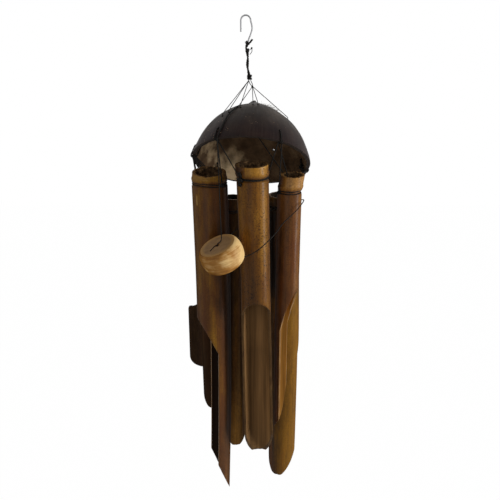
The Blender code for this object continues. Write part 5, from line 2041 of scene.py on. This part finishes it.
# Tail cord: the line's long end, from the clapper's knot across the front tubes, round the right-hand
# tube and back through the bundle to the sail. Each stretch follows the piece that carries it.
TAIL_ROUTE = (
    (-14.1, -65.9, -222.9),
    (-8.0, -66.2, -219.4),
    (-1.7, -65.0, -215.8),
    (6.0, -64.2, -212.4),
    (12.0, -63.2, -208.8),
    (17.3, -61.0, -205.0),
    (28.6, -51.5, -195.8),
    (35.0, -44.0, -189.0),
    (43.0, -37.6, -183.0),
    (50.0, -35.0, -176.5),
    (54.5, -30.5, -172.0),
    (57.0, -22.0, -170.5),
    (56.0, -12.0, -172.0),
    (49.0, -1.0, -176.0),
    (36.0, 6.0, -183.0),
    (18.0, 12.0, -192.0),
    (0.0, 16.0, -203.0),
    (-14.0, 22.0, -215.0),
    (-24.0, 28.5, -226.0),
    (-28.6, 32.0, -232.0),
)
TAIL_FRONT_END = 7
TAIL_WRAP_END = 14
WRAP_OUT = Vector((56.0 * MM, -20.0 * MM, -171.0 * MM))
WRAP_IN = Vector((38.0 * MM, -20.0 * MM, -171.0 * MM))


def nearest(line, spot):
    return min(range(len(line)), key=lambda k: (line[k] - spot).length)


def tail_stretch(name, line):
    piece = lay_cord(name, [line], LINE_RADIUS)
    run_line(piece, line, "object")
    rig.slot(piece, "waxed_cord")
    return piece


tail_route = in_mm(TAIL_ROUTE)
tail_line = smooth_route(tail_route, LONG_STEP)
front_end = nearest(tail_line, tail_route[TAIL_FRONT_END])
wrap_end = nearest(tail_line, tail_route[TAIL_WRAP_END])
tail_front = tail_stretch("tail_cord_front", tail_line[: front_end + 1])
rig.blend(tail_front, "clapper_line", "canopy", start=tail_line[0], end=tail_line[front_end])
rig.replaces(tail_front, "tail_cord")
tail_wrap = tail_stretch("tail_cord_wrap", tail_line[front_end : wrap_end + 1])
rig.blend(tail_wrap, "canopy", "front_right", start=WRAP_IN, end=WRAP_OUT)
tail_rear = tail_stretch("tail_cord_rear", tail_line[wrap_end:])
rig.ride(tail_rear, "canopy")

# Sail: a slip split from a wide culm, its ends rounded, one corner frayed, drilled for its cord.
# It hangs behind the tubes and swings in the wind.
SAIL_WIDTH = 35.0 * MM
SAIL_HEIGHT = 81.0 * MM
SAIL_THICKNESS = 3.6 * MM
SAIL_BEND = 3.0 * MM
SAIL_CENTRE = Vector((-51.0 * MM, 50.0 * MM, -351.5 * MM))
SAIL_FOOT_ROUND = (17.0 * MM, 9.0 * MM)
SAIL_HEAD_ROUND = (2.0 * MM, 5.0 * MM)
SAIL_FRAY = 1.6 * MM
SAIL_FRAY_RATE = 260.0
SAIL_FRAYED_SIDE = -0.6
SAIL_FRAYED_MORE = 0.6
SAIL_RIPPLE = 0.25 * MM
SAIL_RIPPLE_RATES = (180.0, 9.0)
SAIL_HOLE_RADIUS = 1.4 * MM
SAIL_HOLE_DOWN = 7.0 * MM
SAIL_COLUMNS = 36
SAIL_ROWS = 80
SAIL_CORD_ROUTE = ((-34.0, 37.5, -247.0), (-43.0, 43.5, -274.0))
SAIL_EDGE = 0.4 * MM
SAIL_CORD_LEAD = 5.0 * MM
SAIL_KNOT_RADIUS = 2.3 * MM
SAIL_HOLE = SAIL_CENTRE + Vector((0.0, 0.0, SAIL_HEIGHT / 2 - SAIL_HOLE_DOWN))
SAIL_LOOK = {
    **PLAIN_TUBE,
    "seed": 9.0,
    # Very dark colours: painted shade, for the slip's place behind the tubes.
    "dark": (0.017, 0.009, 0.005),
    "brown": (0.046, 0.024, 0.012),
    "gold": (0.098, 0.052, 0.022),
    "speckle": 0.4,
    "gloss": 0.03,
}


def corner_inset(to_end, radius):
    """How far a rounded corner pulls the side in, at a distance from the end."""
    short = max(0.0, radius - to_end)
    return radius - math.sqrt(max(0.0, radius * radius - short * short))


def sail_point(across, up, side):
    """A point of the slip, from shares of its width and height, on its front or back."""
    half = SAIL_WIDTH / 2
    rise = up * SAIL_HEIGHT
    hand = 0 if across < 0 else 1
    inset = max(
        corner_inset(rise, SAIL_FOOT_ROUND[hand]),
        corner_inset(SAIL_HEIGHT - rise, SAIL_HEAD_ROUND[hand]),
    )
    x = across * (half - inset)
    more = SAIL_FRAYED_MORE if across < SAIL_FRAYED_SIDE else 0.0
    fray = SAIL_FRAY * (abs(noise.noise(Vector((x * SAIL_FRAY_RATE, 0.3, 4.0)))) + more)
    z = -SAIL_HEIGHT / 2 + rise * (SAIL_HEIGHT - fray) / SAIL_HEIGHT
    across_rate, up_rate = SAIL_RIPPLE_RATES
    ripple = SAIL_RIPPLE * noise.noise(Vector((across_rate * x, 9.0 * side, up_rate * z)))
    y = side * SAIL_THICKNESS / 2 - SAIL_BEND * (x / half) ** 2 + ripple
    return SAIL_CENTRE + Vector((x, y, z))


def build_sail():
    """The slip, drilled for its cord and with its edges eased."""
    shape = bmesh.new()
    skins = []
    for side in (-1, 1):
        grid = []
        for row in range(SAIL_ROWS + 1):
            up = 0.5 - 0.5 * math.cos(math.pi * row / SAIL_ROWS)
            places = [2 * column / SAIL_COLUMNS - 1 for column in range(SAIL_COLUMNS + 1)]
            grid.append([shape.verts.new(sail_point(across, up, side)) for across in places])
        for low, high in zip(grid, grid[1:]):
            for k in range(SAIL_COLUMNS):
                face = [low[k], low[k + 1], high[k + 1], high[k]]
                shape.faces.new(face if side < 0 else face[::-1])
        right = [line[-1] for line in grid[1:-1]]
        left = [line[0] for line in grid[-2:0:-1]]
        skins.append(grid[0] + right + grid[-1][::-1] + left)
    front, back = skins
    for k in range(len(front)):
        beside = (k + 1) % len(front)
        shape.faces.new((front[beside], front[k], back[k], back[beside]))
    source = from_bmesh(shape, "sail_slip")
    source.data.materials.append(culm_skin("sail", SAIL_LOOK))
    through = Vector((0.0, 2 * SAIL_THICKNESS, 0.0))
    sail_drill = drill(source, [(SAIL_HOLE - through, SAIL_HOLE + through, SAIL_HOLE_RADIUS)])
    ease_edges(source, SAIL_EDGE)
    piece = plain_mesh(source, "bamboo_sail")
    bpy.data.objects.remove(sail_drill)
    return shade(piece)


fix(build_sail(), "sail", "sail", slot="bamboo")
sail_lead = SAIL_HOLE - Vector((0.0, SAIL_THICKNESS / 2 + SAIL_CORD_LEAD / 2, -SAIL_CORD_LEAD))
sail_start = Vector(JOINTS["sail_swing"]["pos_m"])
sail_back = SAIL_HOLE + Vector((0.0, SAIL_THICKNESS / 2, 0.0))
sail_line = smooth_route([sail_start, *in_mm(SAIL_CORD_ROUTE), sail_lead, SAIL_HOLE, sail_back])
sail_cord = lay_cord("sail_cord_length", [sail_line], LINE_RADIUS)
fix(sail_cord, "sail", "sail_cord")
knot_middle = SAIL_HOLE + Vector((0.0, SAIL_THICKNESS / 2 + 0.5 * SAIL_KNOT_RADIUS, 0.0))
sail_knot = tie_knot("sail_knot_cord", knot_middle, SAIL_KNOT_RADIUS, (0.0, 1.0, 0.0))
fix(sail_knot, "sail")
run_line(sail_cord, sail_line, "knot", with_pieces=[sail_knot])

# The model's box with the looks on, beside the box that it started from.
with open("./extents.json", "w") as size_file:
    json.dump({"cad": [list(c) for c in cad_box], "visual": [list(c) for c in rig.bounds()]}, size_file)
